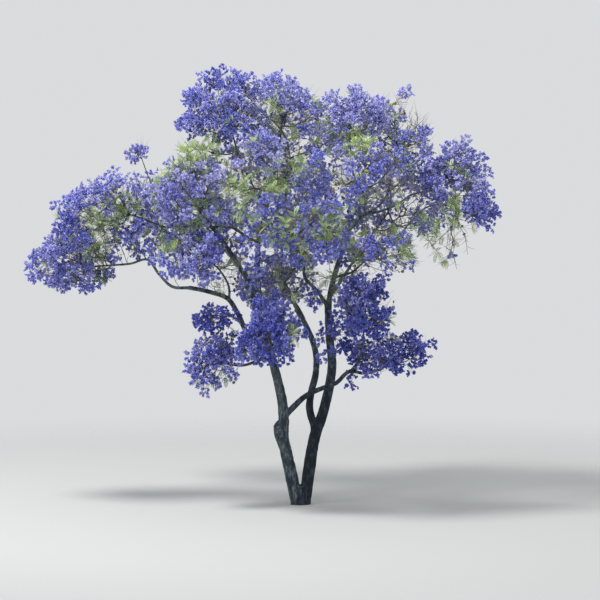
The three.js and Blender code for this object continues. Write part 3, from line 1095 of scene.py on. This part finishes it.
def innerShoots():
    # Shoots to the side of the thinner boughs and a little up, from chance points. They take the
    # colours of the nearest mass, and stay away from those that carry nothing but blossom.
    random = draws(stages["shoots"])
    mixed = [number for number, mass in enumerate(masses.values()) if mass["full"] < 1]
    parts = [skins[list(masses)[number]][0][:: shoot["thinned"]] for number in mixed]
    sample = np.concatenate(parts)
    owner = np.repeat(mixed, len(sample) // len(mixed))
    thin = (limbPoints[:, 3] < shoot["thickestLimb"]) & (limbPoints[:, 2] > shoot["above"])
    starts = limbPoints[random.choice(np.flatnonzero(thin), shoot["count"])]
    side = unit(np.cross(starts[:, 4:], random.standard_normal((shoot["count"], 3))))
    ahead = unit(side + shoot["along"] * starts[:, 4:] + shoot["upward"] * tree["up"])
    ends = starts[:, :3] + ahead * random.uniform(*shoot["length"], (shoot["count"], 1))
    index, gap = nearest(ends, sample)
    kept = (gap < shoot["nearMass"]) & ((ends > boxLow) & (ends < boxHigh)).all(axis=1)
    starts, ahead, ends, index = starts[kept], ahead[kept], ends[kept], index[kept]
    first = len(starts)
    return {
        "place": np.concatenate([starts[:, :3], ends]),
        "way": np.concatenate([starts[:, 4:], ahead]),
        "out": np.concatenate([starts[:, 4:], ahead]),
        "radius": np.concatenate([starts[:, 3], np.full(first, shoot["radius"])]),
        "mass": np.tile(owner[index], 2),
        "height": np.full(2 * first, shoot["height"]),
        "layer": np.full(2 * first, shootLayer),
        "parent": np.concatenate([np.full(first, -1), np.arange(first)]),
        "first": first,
    }


def curvedEdges(branches):
    # Each branch between two forks as a bend: with h the Hermite blends of t it is
    # h00 p0 + h10 m0 + h01 p1 + h11 m1, and a little noise to the side
    child = np.arange(branches["first"], len(branches["place"]))
    parent = branches["parent"][child]
    start, end = branches["place"][parent], branches["place"][child]
    gap = np.linalg.norm(end - start, axis=1, keepdims=True)
    straight = unit(end - start)
    parentShare, straightShare = growth["leave"]
    leave = unit(parentShare * branches["way"][parent] + straightShare * straight)
    ownShare, upShare = growth["arrive"]
    arrive = unit(straight + ownShare * branches["way"][child] + upShare * tree["up"])
    t = np.linspace(0, 1, growth["rings"])[None, :, None]
    path = (
        (2 * t**3 - 3 * t**2 + 1) * start[:, None]
        + (t**3 - 2 * t**2 + t) * (leave * gap)[:, None]
        + (3 * t**2 - 2 * t**3) * end[:, None]
        + (t**3 - t**2) * (arrive * gap)[:, None]
    )
    flat = path.reshape(-1, 3) / growth["wobbleSize"]
    apart = growth["wobbleApart"]
    shake = [smoothNoise(flat + apart * axis, stages["shake"] + axis) for axis in range(3)]
    shake = np.stack(shake, axis=1).reshape(path.shape)
    path += growth["wobble"] * np.sin(np.pi * t) * gap[:, None] * shake
    radius = branches["radius"]
    begin = np.minimum(radius[child] * growth["rootSwell"], radius[parent])
    thickest = np.zeros(len(radius))
    np.maximum.at(thickest, parent, radius[child])
    finish = np.where(thickest[child] > 0, thickest[child], growth["taper"] * radius[child])
    finish = np.minimum(finish * growth["endSwell"], begin)
    return path, begin[:, None] + (finish - begin)[:, None] * t[:, :, 0]


def sideTwigs(paths, radii, random):
    # Bare twigs from chance rings of the branches: start + length (t ahead + bend t^2 up)
    owner = np.repeat(np.arange(len(paths)), sideTwig["each"])
    ring = random.integers(1, growth["rings"] - 1, len(owner))
    start = paths[owner, ring]
    way = unit(paths[owner, ring + 1] - start)
    side = unit(np.cross(way, random.standard_normal(way.shape)))
    ahead = unit(way + sideTwig["turn"] * side + sideTwig["upward"] * tree["up"])[:, None]
    length = random.uniform(*sideTwig["length"], (len(owner), 1, 1))
    t = np.linspace(0, 1, 3)[None, :, None]
    path = start[:, None] + length * (t * ahead + sideTwig["bend"] * t**2 * tree["up"])
    radius = np.minimum(sideTwig["share"] * radii[owner, ring], sideTwig["thickest"])
    return path, radius[:, None] * np.array(sideTwig["taper"])


# The roughness of each plain surface, the size of its grain and the height of its bumps
finishes = {
    "bough": (0.85, 0.02, 0.003),
    "twig": (0.8, 0.012, 0.002),
    "stalk": (0.75, 0.01, 0.001),
    "petal": (0.6, 0.02, 0.002),
    "leaf": (0.55, 0.02, 0.002),
    "pod": (0.75, 0.012, 0.002),
}

plainLook = {
    "detail": 3.0,
    "glossSpread": 0.12,
    "bumpStrength": 0.5,
}


def plainMaterial(name, colour, finish):
    # one even colour, with fine grain in the surface and in its gloss
    roughness, grainSize, bumpHeight = finishes[finish]
    material, nodes, links, shader = newMaterial(name, roughness)
    shader.inputs["Base Color"].default_value = (*linear(colour), 1.0)
    where = nodes.new("ShaderNodeTexCoord").outputs["Object"]
    grain = noiseNode(nodes, links, where, 1 / grainSize, plainLook["detail"])
    gloss = nodes.new("ShaderNodeMapRange")
    gloss.inputs["To Min"].default_value = roughness - plainLook["glossSpread"]
    gloss.inputs["To Max"].default_value = min(roughness + plainLook["glossSpread"], 1.0)
    links.new(grain, gloss.inputs["Value"])
    links.new(gloss.outputs["Result"], shader.inputs["Roughness"])
    bumpNode(nodes, links, grain, bumpHeight, plainLook["bumpStrength"], shader)
    return material


limbPoints = np.concatenate([
    np.column_stack([path, unit(np.gradient(path[:, :3], axis=0))])
    for name, path in limbs.items()
    if name != "cut_stub"
])
skins = {}
for number, name in enumerate(spaces):
    random = draws(stages["skins"] + number)
    skins[name] = massSkin(name, random) if name in masses else hollowSkin(hollows[name], random)
grown = [branchesOf(number, name) for number, name in enumerate(spaces)]
grown.append(innerShoots())
edges = [curvedEdges(branches) for branches in grown]
branchPaths, branchRadii = (np.concatenate(rows) for rows in zip(*edges))
twigPaths, twigRadii = sideTwigs(branchPaths, branchRadii, draws(stages["sideTwigs"]))

twigLook = {
    "bough": (72, 75, 78),
    "twig": (134, 130, 124),
    "stalk": (96, 92, 92),
}

boughLike = branchRadii[:, 0] > growth["barkFrom"]
darkBranch = plainMaterial("darkBranch", twigLook["bough"], "bough")
paleTwig = plainMaterial("paleTwig", twigLook["twig"], "twig")
shape = tubes(branchPaths[boughLike], branchRadii[boughLike], growth["sides"])
addPiece("branches", makeMesh("branches", *shape, smooth=True), darkBranch)
shape = tubes(branchPaths[~boughLike], branchRadii[~boughLike], growth["twigSides"])
addPiece("twigs", makeMesh("twigs", *shape, smooth=True), paleTwig)
shape = spikes(twigPaths, twigRadii)
addPiece("sideTwigs", makeMesh("sideTwigs", *shape, smooth=True), paleTwig)
print("branches grown")


# What stands at the end of each twig: blossom, leaves, pods or nothing

bare, blossom, leaves, pods = 0, 1, 2, 3

# Chances of bare, blossom, leaves and pods where a mass has none of its own
mixes = {
    innerLayer: (0.2, 0.4, 0.2, 0.2),
    shootLayer: (0.2, 0.5, 0.18, 0.12),
}

# Places on the crown's front, across and up, in metres, that are in leaf, or nearly bare, and
# how far each reaches
patches = {
    "behind": 0.7,  # the crown's front ends here
    "lead": 0.14,  # how far a spray's middle stands beyond its twig, out and a little up
    "upward": 0.5,
    "leafReach": 0.235,
    "leafChance": 0.85,
    "leaf": [
        (-1.7, 6.5), (-2.55, 6.2), (-3.1, 5.6), (-3.3, 5.5), (-1.0, 5.85), (-3.6, 5.0), (-2.45, 4.85),
        (0.05, 6.25), (-0.25, 5.2), (-1.0, 5.3), (-0.5, 7.35), (-0.15, 6.95), (0.45, 6.55), (1.05, 6.7),
        (0.5, 5.1), (1.0, 4.95), (2.4, 5.3), (2.65, 5.45), (2.0, 5.1), (1.9, 4.65), (0.4, 3.6),
        (1.75, 3.3), (0.05, 3.1), (0.8, 5.25), (-0.5, 5.9), (-2.1, 6.45), (-2.75, 6.2), (-3.5, 5.35),
        (-3.7, 4.75), (-1.9, 5.35), (2.1, 5.6), (-3.95, 5.35),
    ],
    "bareBehind": 1.3,  # and for the bare places it ends here
    "bareChance": 0.82,
    "bare": [
        (1.6, 5.6, 0.55), (1.14, 5.14, 0.3), (1.28, 4.32, 0.22), (1.95, 3.95, 0.5),
        (2.4, 7.25, 0.5), (2.0, 7.5, 0.28), (-0.13, 7.03, 0.2), (-2.0, 7.95, 0.38),
    ],
    "pods": 0.3,  # share of the open places that carry pods
}

clumps = {
    "gap": 0.46,  # metres between the middles of two clumps of blossom
    "reach": 0.24,  # how far a clump holds together
    "uneven": 0.45,  # how much fuller some clumps are than others
    "chance": 0.25,  # how much chance blurs their edges
    "radiate": 1.6,  # how much its panicles turn away from its middle
    "deepen": 4.4,  # how much the tint deepens over the ranks, and the rank where it is even
    "evenAt": 0.76,
    "evenFrom": 0.55,  # below this rank it grows no paler
    "panicle": (0.62, 1.15),  # size of the panicles round a clump and in its middle
    "openLeaf": 0.14,  # share of leaves and of pods in the gaps between the clumps
    "openPods": 0.1,
    "fuller": 1.1,  # how much fuller the clumps at the places below are
    "looser": 0.6,  # and how much less full the others in front are
    "frontmost": 0.1,  # how much a twig end nearer the front is preferred
    "behindCost": 9.0,  # of a twig end that isn't in front
    # Where the fullest clumps stand on the crown's front, across and up, in metres
    "places": [
        (-4.4, 5.4), (-3.75, 5.6), (-3.3, 5.8), (-2.8, 6.0), (-3.0, 5.35), (-2.45, 5.8), (-2.0, 6.1),
        (-2.15, 5.6), (-4.25, 4.95), (-3.85, 5.15), (-4.7, 4.5), (-4.1, 4.4), (-3.85, 4.25),
        (-3.3, 4.65), (-2.55, 4.6), (-2.05, 4.9), (-1.7, 4.5), (-1.6, 4.95), (-0.95, 4.9),
        (-0.65, 5.4), (-0.85, 4.5), (-1.95, 7.3), (-1.6, 7.6), (-1.35, 7.85), (-1.25, 7.1),
        (-1.8, 6.9), (-0.9, 6.9), (-0.45, 7.55), (0.25, 7.2), (0.75, 7.3), (1.4, 7.5), (0.75, 6.9),
        (1.15, 7.0), (-0.6, 6.55), (0.5, 6.15), (1.65, 6.15), (1.15, 6.0), (0.0, 5.7), (0.5, 5.5),
        (0.0, 4.6), (0.55, 4.8), (0.85, 4.5), (1.6, 4.7), (2.2, 6.6), (2.5, 6.3), (2.6, 5.85),
        (3.15, 6.3), (2.9, 5.65), (3.45, 5.45), (3.3, 5.25), (-1.5, 3.45), (-1.65, 2.6),
        (-1.25, 3.0), (-0.6, 3.15), (-0.15, 3.4), (-0.9, 3.75), (0.6, 3.0), (1.25, 3.55),
        (1.05, 3.25), (1.5, 3.7), (1.05, 4.05), (1.45, 2.8), (1.05, 2.6), (1.9, 2.8), (2.25, 3.0),
    ],
}

tinting = {
    "rise": 0.8,  # painted light and shade: paler towards the top of a mass, deeper underneath
    "patch": 0.6,  # smooth differences over the crown
    "patchSize": 0.6,
    "spread": 0.35,  # chance differences between two sprays
    "flowerSpread": 0.95,  # and between two flowers
    "core": 1.6,  # painted shade: how much deeper the flowers near a panicle's stalk are
    "coreShadeEnd": 0.85,  # share of a branchlet beyond which they are painted paler, lit, instead
}

blossomTints = [
    ("deepBlossom", (81, 92, 192)),
    ("inkBlossom", (102, 112, 207)),
    ("violetBlossom", (128, 135, 218)),
    ("middleBlossom", (155, 159, 229)),
    ("lilacBlossom", (182, 183, 238)),
    ("paleBlossom", (211, 210, 246)),
]

leafTints = [
    ("darkLeaf", (118, 136, 100)),
    ("freshLeaf", (152, 173, 122)),
    ("yellowLeaf", (188, 208, 138)),
    ("paleLeaf", (212, 224, 174)),
]


def asSeen(places):
    # across and up, as the camera sees a place against the plane through the stems
    far = -camera["place"][1]
    scale = far / (far + places[:, 1])
    up = camera["place"][2] + (places[:, 2] - camera["place"][2]) * scale
    return np.stack([places[:, 0] * scale, up], axis=1)


def massNumber(key, index):
    return np.array([space[key] for space in spaces.values()])[index]


def gatherClumps(ends, random):
    # The clumps' middles are the twig ends in front at the fullest clumps' places, and others
    # spaced apart. Each end keeps its way from the nearest of them, in clump gaps, and a rank from
    # 0, open, to 1, the middle of a full clump: with its distance r it is the order of
    # fullness - (r / reach)^2, blurred by chance.
    outer = ends["place"][ends["layer"] == outerLayer]
    front = outer[:, 1] < patches["behind"]
    away = np.linalg.norm(asSeen(outer)[None] - np.array(clumps["places"])[:, None], axis=2)
    cost = away + clumps["frontmost"] * outer[:, 1] + clumps["behindCost"] * ~front
    full = np.unique(np.argmin(cost, axis=1))
    loose = spacedOut(outer, clumps["gap"], random)
    loose = loose[nearest(outer[loose], outer[full])[1] > clumps["gap"]]
    middles = outer[[*full, *loose]]
    fullness = clumps["uneven"] * random.standard_normal(len(middles))
    fullness += [*np.full(len(full), clumps["fuller"]), *(-clumps["looser"] * front[loose])]
    index, away = nearest(ends["place"], middles)
    value = fullness[index] - (away / clumps["reach"]) ** 2
    value += clumps["chance"] * random.standard_normal(len(value))
    ends["fromMiddle"] = (ends["place"] - middles[index]) / clumps["gap"]
    ends["clump"] = np.argsort(np.argsort(value)) / len(value)


def dealSprays(ends, random):
    # What each twig end carries: blossom in the clumps, leaves round them, and little in the gaps
    count = len(ends["place"])
    rank = ends["clump"]
    full = massNumber("full", ends["mass"])
    leafy = 1 - full + full * massNumber("leaf", ends["mass"])
    shares = (1 - clumps["openLeaf"] - clumps["openPods"], clumps["openLeaf"], clumps["openPods"])
    gaps = random.choice([bare, leaves, pods], count, p=shares)
    kind = np.where(rank < 1 - full, gaps, np.where(rank < leafy, leaves, blossom))
    for layer, mix in mixes.items():
        kind = np.where(ends["layer"] == layer, random.choice(len(mix), count, p=mix), kind)
    beyond = unit(ends["out"] + patches["upward"] * tree["up"])
    seen = asSeen(ends["place"] + patches["lead"] * beyond)
    front = ends["place"][:, 1] < patches["behind"]
    frontBare = ends["place"][:, 1] < patches["bareBehind"]
    chance = random.random(count)
    gap = nearest(seen, np.array(patches["leaf"]))[1]
    kind[front & (gap < patches["leafReach"]) & (chance < patches["leafChance"])] = leaves
    for across, up, reach in patches["bare"]:
        gap = np.hypot(seen[:, 0] - across, seen[:, 1] - up)
        opened = frontBare & (gap < reach) & (chance < patches["bareChance"])
        kind[opened] = np.where(random.random(opened.sum()) < patches["pods"], pods, bare)
    kind[ends["layer"] == forkLayer] = bare
    return kind


def sprayTint(ends, random):
    # the mass's own tint, and how far from it by height, which is painted light above and painted shade
    # underneath, by place and by chance
    patch = smoothNoise(ends["place"] / tinting["patchSize"], stages["tint"])
    rise = 2 * ends["height"] - 1
    own = massNumber("tint", ends["mass"])
    chance = random.standard_normal(len(patch))
    # painted light and shade by height within the mass
    tint = own + tinting["rise"] * rise + tinting["patch"] * patch + tinting["spread"] * chance
    rank = np.maximum(ends["clump"], clumps["evenFrom"])
    return tint - clumps["deepen"] * (rank - clumps["evenAt"])


ends = {
    key: np.concatenate([branches[key][branches["first"] :] for branches in grown])
    for key in ("place", "way", "out", "mass", "height", "layer")
}
random = draws(stages["sprays"])
gatherClumps(ends, random)
kind = dealSprays(ends, random)
tint = sprayTint(ends, random)
print("bare, blossom, leaves, pods:", np.bincount(kind))


# Blossom: upright cones of branchlets that end in trumpet flowers

panicle = {
    "twins": 0.18,  # share of the sprays that carry a second one
    "lean": 0.35,
    "along": 0.5,  # how much it follows its twig
    "upward": 0.5,
    "sunk": 0.02,
    "length": 0.3,
    "width": 0.135,
    "lowest": 0.12,  # share of the stalk below the branchlets, and the stretch that carries them
    "stretch": 0.8,
    "widest": 0.56,  # the root in their reach is greatest here
    "branchletRise": 0.5,
    "uneven": 0.2,  # how much chance moves a branchlet's end, in its own lengths
    "size": (0.8, 1.2),
    "wholeGap": 0.19,  # panicles are smaller where their mass's gap is less than this
    "branchlets": 8,
    "spiral": math.radians(137.5),
    "flowersEach": 11,
    "flowersFrom": 0.35,  # share of a branchlet below its flowers
    "flowerTurn": 0.75,
    "flowerLength": (0.029, 0.039),
    "coreSwell": 0.45,  # how much larger the flowers near the stalk are
    "nod": 0.15,
    "stalkRadius": 0.0034,
    "stalkTaper": (1.0, 0.7, 0.3),
    "branchletRadius": 0.0022,
}

flower = {
    "petals": 5,
    "petalHalf": math.radians(31),  # half the turn that a petal takes up
    "radii": (0.4, 0.52),  # of a petal's two outer corners, in flower lengths
    "heights": (0.94, 0.82),
}


def flowerShape():
    # A trumpet one unit long: its petals spring from one foot, each a triangle whose outer corners
    # stand at the petal's turn less and plus petalHalf, one of them further out and lower
    count = flower["petals"]
    first = np.arange(count)
    parts = [np.zeros((1, 3))]
    halves = (-flower["petalHalf"], flower["petalHalf"])
    for half, radius, height in zip(halves, flower["radii"], flower["heights"]):
        turn = 2 * np.pi * first / count + half
        rim = [radius * np.cos(turn), radius * np.sin(turn), np.full(count, height)]
        parts.append(np.stack(rim, axis=1))
    petals = np.stack([0 * first, first + count + 1, first + 1], axis=1)
    return np.concatenate(parts), petals


def growPanicles(ends, chosen, tint, random):
    # Stalks lean out of the crown and up. On each, branchlet k of n has t = (k + 0.5) / n and stands
    # at lowest + stretch t of the stalk, turned by k times the spiral's angle. It reaches
    # width sqrt((t + lowest) (1 - t)) / widest.
    twins = chosen[random.random(len(chosen)) < panicle["twins"]]
    chosen = np.concatenate([chosen, twins])
    ahead = ends["out"][chosen] + panicle["along"] * ends["way"][chosen]
    ahead = unit(ahead + panicle["upward"] * tree["up"])
    ahead += clumps["radiate"] * ends["fromMiddle"][chosen]
    ahead = unit(ahead + panicle["lean"] * random.standard_normal(ahead.shape))
    size = random.uniform(*panicle["size"], len(chosen))
    size *= np.minimum(massNumber("gap", ends["mass"][chosen]) / panicle["wholeGap"], 1.0)
    size *= np.interp(ends["clump"][chosen], [0, 1], clumps["panicle"])
    foot = ends["place"][chosen] - panicle["sunk"] * ahead
    stalk = ahead * (panicle["length"] * size)[:, None]
    count = np.rint(panicle["branchlets"] * size).astype(int)
    owner = np.repeat(np.arange(len(chosen)), count)
    k = np.arange(len(owner)) - np.repeat(np.cumsum(count) - count, count)
    t = (k + 0.5) / count[owner]
    turn = k * panicle["spiral"] + random.uniform(0, 2 * np.pi, len(chosen))[owner]
    across, over, _ = (axis[owner] for axis in framesAlong(ahead))
    spoke = across * np.cos(turn)[:, None] + over * np.sin(turn)[:, None]
    wide = np.sqrt((t + panicle["lowest"]) * (1 - t))
    reach = (panicle["width"] * size[owner] * wide / panicle["widest"])[:, None]
    start = foot[owner] + stalk[owner] * (panicle["lowest"] + panicle["stretch"] * t)[:, None]
    end = start + (spoke + panicle["branchletRise"] * ahead[owner]) * reach
    end += panicle["uneven"] * reach * random.standard_normal(end.shape)
    return foot, stalk, start, end, tint[chosen][owner]


def growFlowers(start, end, tint, random):
    # Flowers at the shares s of each branchlet, along the outer part of it, turned out of it every
    # way and nodding
    each = panicle["flowersEach"]
    owner = np.repeat(np.arange(len(start)), each)
    s = np.tile(np.arange(each), len(start)) + random.random(len(owner))
    s = panicle["flowersFrom"] + (1 - panicle["flowersFrom"]) * s / each
    place = start[owner] + (end - start)[owner] * s[:, None]
    way = unit(end - start)[owner] - panicle["nod"] * tree["up"]
    way = unit(way + panicle["flowerTurn"] * random.standard_normal(place.shape))
    size = random.uniform(*panicle["flowerLength"], len(owner)) * (1 + panicle["coreSwell"] * (1 - s))
    tint = tint[owner] + tinting["flowerSpread"] * random.standard_normal(len(owner))
    # painted shade deepens the flowers inside each panicle, painted light lifts the outer ones
    tint -= tinting["core"] * (tinting["coreShadeEnd"] - s)
    return place, way, size, tint


random = draws(stages["panicles"])
chosen = np.flatnonzero(kind == blossom)
foot, stalk, start, end, branchletTint = growPanicles(ends, chosen, tint, random)
share = np.linspace(0, 1, len(panicle["stalkTaper"]))[None, :, None]
stalkPaths = foot[:, None] + stalk[:, None] * share
stalkRadii = panicle["stalkRadius"] * np.tile(panicle["stalkTaper"], (len(foot), 1))
branchletRadii = np.full((len(start), 1), panicle["branchletRadius"])
branchlets = spikes(np.stack([start, end], axis=1), branchletRadii)
shape = joined([tubes(stalkPaths, stalkRadii, 3), branchlets])
flowerStalk = plainMaterial("flowerStalk", twigLook["stalk"], "stalk")
addPiece("stalks", makeMesh("stalks", *shape, smooth=True), flowerStalk)

place, way, size, flowerTint = growFlowers(start, end, branchletTint, random)
spin = random.uniform(0, 2 * np.pi, len(place))
shade = np.clip(np.rint(flowerTint), 0, len(blossomTints) - 1)
print("panicles:", len(foot), "flowers:", len(place))
for number, (name, colour) in enumerate(blossomTints):
    chosen = shade == number
    shape = copies(flowerShape(), place[chosen], way[chosen], spin[chosen], size[chosen])
    petals = plainMaterial(name, colour, "petal")
    inBlossom = {mass: look for mass, look in masses.items() if look["leaf"] < 0.5}
    replaced = [mass for mass, look in inBlossom.items() if round(look["tint"]) == number]
    addPiece(name, makeMesh(name, *shape), petals, replaced)


# Leaves: tufts of feathery leaves round a twig's end

leaf = {
    "mostly": "freshLeaf",
    "each": 9,  # in a tuft
    "along": 0.6,  # how much the tuft follows its twig
    "upward": 0.6,
    "uneven": 0.4,  # how far chance turns a leaf round the twig
    "length": (0.11, 0.21),
    "pairs": 7,  # of pinnae
    "rows": (0.14, 0.96),  # where on the rib they start and end
    "spindle": (0.1, 0.8),  # the part of a half wave that their lengths follow
    "blunt": 0.8,
    "lift": 0.15,
    "lean": math.radians(56),  # of a pinna from the leaf's rib
    "pinna": 0.3,  # its length, in leaf lengths
    "pinnaWidth": 0.05,
    "ribWidth": 0.012,
    "ribEnd": 1.02,
    "droop": 0.16,
    "raise": (0.05, 1.25),  # of a leaf from the level round the twig, in radians
}

# The leaves' tints, from 0, dark, to 3, pale: the middle one at a level, and how they differ, with
# painted light paling the higher leaves
leafTinting = {
    "middle": 1.25,
    "level": 5.6,
    "rise": 0.35,  # painted light: paler with height
    "patch": 0.8,
    "patchSize": 0.5,
    "spread": 0.55,
}


def leafShape():
    # A leaf one unit long, its rib along z: two rows of kite-shaped pinnae, longest in the middle,
    # pinna (sin pi (a + b t))^blunt long at t of the rib, where the spindle is a and b, and all
    # drooping by droop z^2
    t = np.repeat(np.linspace(*leaf["rows"], leaf["pairs"]), 2)
    side = np.tile([-1.0, 1.0], leaf["pairs"])
    flat = np.zeros(len(t))
    low, wave = leaf["spindle"]
    length = leaf["pinna"] * np.sin(np.pi * (low + wave * t)) ** leaf["blunt"]
    sine, cosine = math.sin(leaf["lean"]), math.cos(leaf["lean"])
    root = np.stack([flat, flat, t], axis=1)
    ahead = np.stack([side * sine, flat + leaf["lift"], flat + cosine], axis=1) * length[:, None]
    wide = np.stack([-side * cosine, flat, flat + sine], axis=1) * leaf["pinnaWidth"]
    middle = root + ahead / 2
    kites = np.stack([root, middle + wide, root + ahead, middle - wide], axis=1)
    half = leaf["ribWidth"] / 2
    rib = np.array([[[-half, 0, 0], [half, 0, 0], [0, 0, leaf["ribEnd"]], [0, -half, 0.5]]])
    corners = np.concatenate([kites, rib]).reshape(-1, 3)
    corners[:, 1] -= leaf["droop"] * corners[:, 2] ** 2
    first = 4 * np.arange(len(t) + 1)[:, None]
    return corners, np.concatenate([first + [0, 1, 2], first + [0, 2, 3]])


def growLeaves(ends, chosen, random):
    # a tuft at each chosen end: leaves evenly round its way, with a little chance, and raised
    each = leaf["each"]
    ahead = ends["out"][chosen] + leaf["along"] * ends["way"][chosen] + leaf["upward"] * tree["up"]
    across, over, along = (axis[:, None] for axis in framesAlong(unit(ahead)))
    uneven = random.uniform(-leaf["uneven"], leaf["uneven"], (len(chosen), each))
    turn = (2 * np.pi * np.arange(each)[None] / each + uneven)[..., None]
    rise = random.uniform(*leaf["raise"], (len(chosen), each, 1))
    way = (across * np.cos(turn) + over * np.sin(turn)) * np.cos(rise) + along * np.sin(rise)
    place = np.repeat(ends["place"][chosen], each, axis=0)
    return place, way.reshape(-1, 3), random.uniform(*leaf["length"], len(place))


random = draws(stages["leaves"])
place, way, size = growLeaves(ends, np.flatnonzero(kind == leaves), random)
# painted light: higher leaves get paler tints
shade = leafTinting["middle"] + leafTinting["rise"] * (place[:, 2] - leafTinting["level"])
patch = smoothNoise(place / leafTinting["patchSize"], stages["leafTint"])
shade += leafTinting["patch"] * patch
shade += leafTinting["spread"] * random.standard_normal(len(place))
shade = np.clip(np.rint(shade), 0, len(leafTints) - 1)
print("leaves:", len(place))
for number, (name, colour) in enumerate(leafTints):
    chosen = shade == number
    shape = copies(leafShape(), place[chosen], way[chosen], 0.0, size[chosen])
    green = plainMaterial(name, colour, "leaf")
    inLeaf = [mass for mass, look in masses.items() if look["leaf"] > 0.5]
    addPiece(name, makeMesh(name, *shape), green, inLeaf if name == leaf["mostly"] else ())


# Dry pods left from last year

pod = {
    "each": 3,  # in a bunch
    "radius": (0.022, 0.032),
    "scatter": 0.05,
    "swing": 0.5,
    "hang": 0.9,
    "points": 8,  # round its edge
    "thickness": 0.14,
    "wave": 0.08,
    "colour": (112, 104, 92),
}


def podShape():
    # A flat round pod with a wavy edge, hung by its rim: two low cones on the edge's points
    # (cos a, wave cos 3a, 1 - sin a)
    count = pod["points"]
    first = np.arange(count)
    after = (first + 1) % count
    turn = 2 * np.pi * first / count
    rim = np.stack([np.cos(turn), pod["wave"] * np.cos(3 * turn), 1 - np.sin(turn)], axis=1)
    corners = np.concatenate([rim, [[0, pod["thickness"], 1], [0, -pod["thickness"], 1]]])
    front = np.stack([first, after, np.full(count, count)], axis=1)
    back = np.stack([after, first, np.full(count, count + 1)], axis=1)
    return corners, np.concatenate([front, back])


random = draws(stages["pods"])
place = np.repeat(ends["place"][kind == pods], pod["each"], axis=0)
place = place + random.normal(0, pod["scatter"], place.shape)
way = pod["swing"] * random.standard_normal(place.shape) - pod["hang"] * tree["up"]
spin = random.uniform(0, 2 * np.pi, len(place))
shape = copies(podShape(), place, way, spin, random.uniform(*pod["radius"], len(place)))
dryPod = plainMaterial("dryPod", pod["colour"], "pod")
addPiece("pods", makeMesh("pods", *shape), dryPod)
print("sprays made")


# The floor fades into the even pale background round it

studio = {
    "floorHalf": 40.0,
    "floorDrop": 0.003,
    "floorColour": (200, 201, 199),
    "floorRoughness": 0.95,
    "fadeStart": 7.0,
    "fadeEnd": 17.0,
    "background": (226, 228, 230),
    "backgroundStrength": 0.92,
    "lampPlace": (-9.0, -6.0, 23.0),
    "lampAim": (-0.5, 0.0, 4.0),
    "lampSize": 6.0,
    "lampPower": 4300.0,
}


def addFloor():
    half = studio["floorHalf"]
    corners = np.array([[-half, -half, 0], [half, -half, 0], [half, half, 0], [-half, half, 0]])
    corners[:, 2] -= studio["floorDrop"]
    floor = bpy.data.objects.new("floor", makeMesh("floor", corners, np.array([[0, 1, 2, 3]])))
    bpy.context.scene.collection.objects.link(floor)
    material, nodes, links, shader = newMaterial("paleFloor", studio["floorRoughness"])
    shader.inputs["Base Color"].default_value = (*linear(studio["floorColour"]), 1.0)
    where = nodes.new("ShaderNodeTexCoord").outputs["Object"]
    away = nodes.new("ShaderNodeVectorMath")
    away.operation = "LENGTH"
    links.new(where, away.inputs[0])
    fade = nodes.new("ShaderNodeMapRange")
    fade.interpolation_type = "SMOOTHSTEP"
    fade.inputs["From Min"].default_value = studio["fadeStart"]
    fade.inputs["From Max"].default_value = studio["fadeEnd"]
    links.new(away.outputs["Value"], fade.inputs["Value"])
    clear = nodes.new("ShaderNodeBsdfTransparent")
    mixed = nodes.new("ShaderNodeMixShader")
    links.new(fade.outputs["Result"], mixed.inputs["Fac"])
    links.new(shader.outputs["BSDF"], mixed.inputs[1])
    links.new(clear.outputs["BSDF"], mixed.inputs[2])
    output = nodes["Material Output"]
    links.new(mixed.outputs["Shader"], output.inputs["Surface"])
    floor.data.materials.append(material)


def addLight():
    world = bpy.data.worlds.new("studio")
    world.use_nodes = True
    background = world.node_tree.nodes["Background"]
    background.inputs["Color"].default_value = (*linear(studio["background"]), 1.0)
    background.inputs["Strength"].default_value = studio["backgroundStrength"]
    scene = bpy.context.scene
    scene.world = world
    scene.view_settings.view_transform = "Standard"
    data = bpy.data.lights.new("softLamp", "AREA")
    data.shape = "DISK"
    data.size = studio["lampSize"]
    data.energy = studio["lampPower"]
    lamp = bpy.data.objects.new("softLamp", data)
    place = np.array(studio["lampPlace"])
    back = unit(place - np.array(studio["lampAim"]))
    across, over, way = framesAlong(back)
    turn = np.identity(4)
    turn[:3, 0], turn[:3, 1], turn[:3, 2], turn[:3, 3] = across, over, way, place
    lamp.matrix_world = Matrix(turn.tolist())
    scene.collection.objects.link(lamp)


addFloor()
addLight()
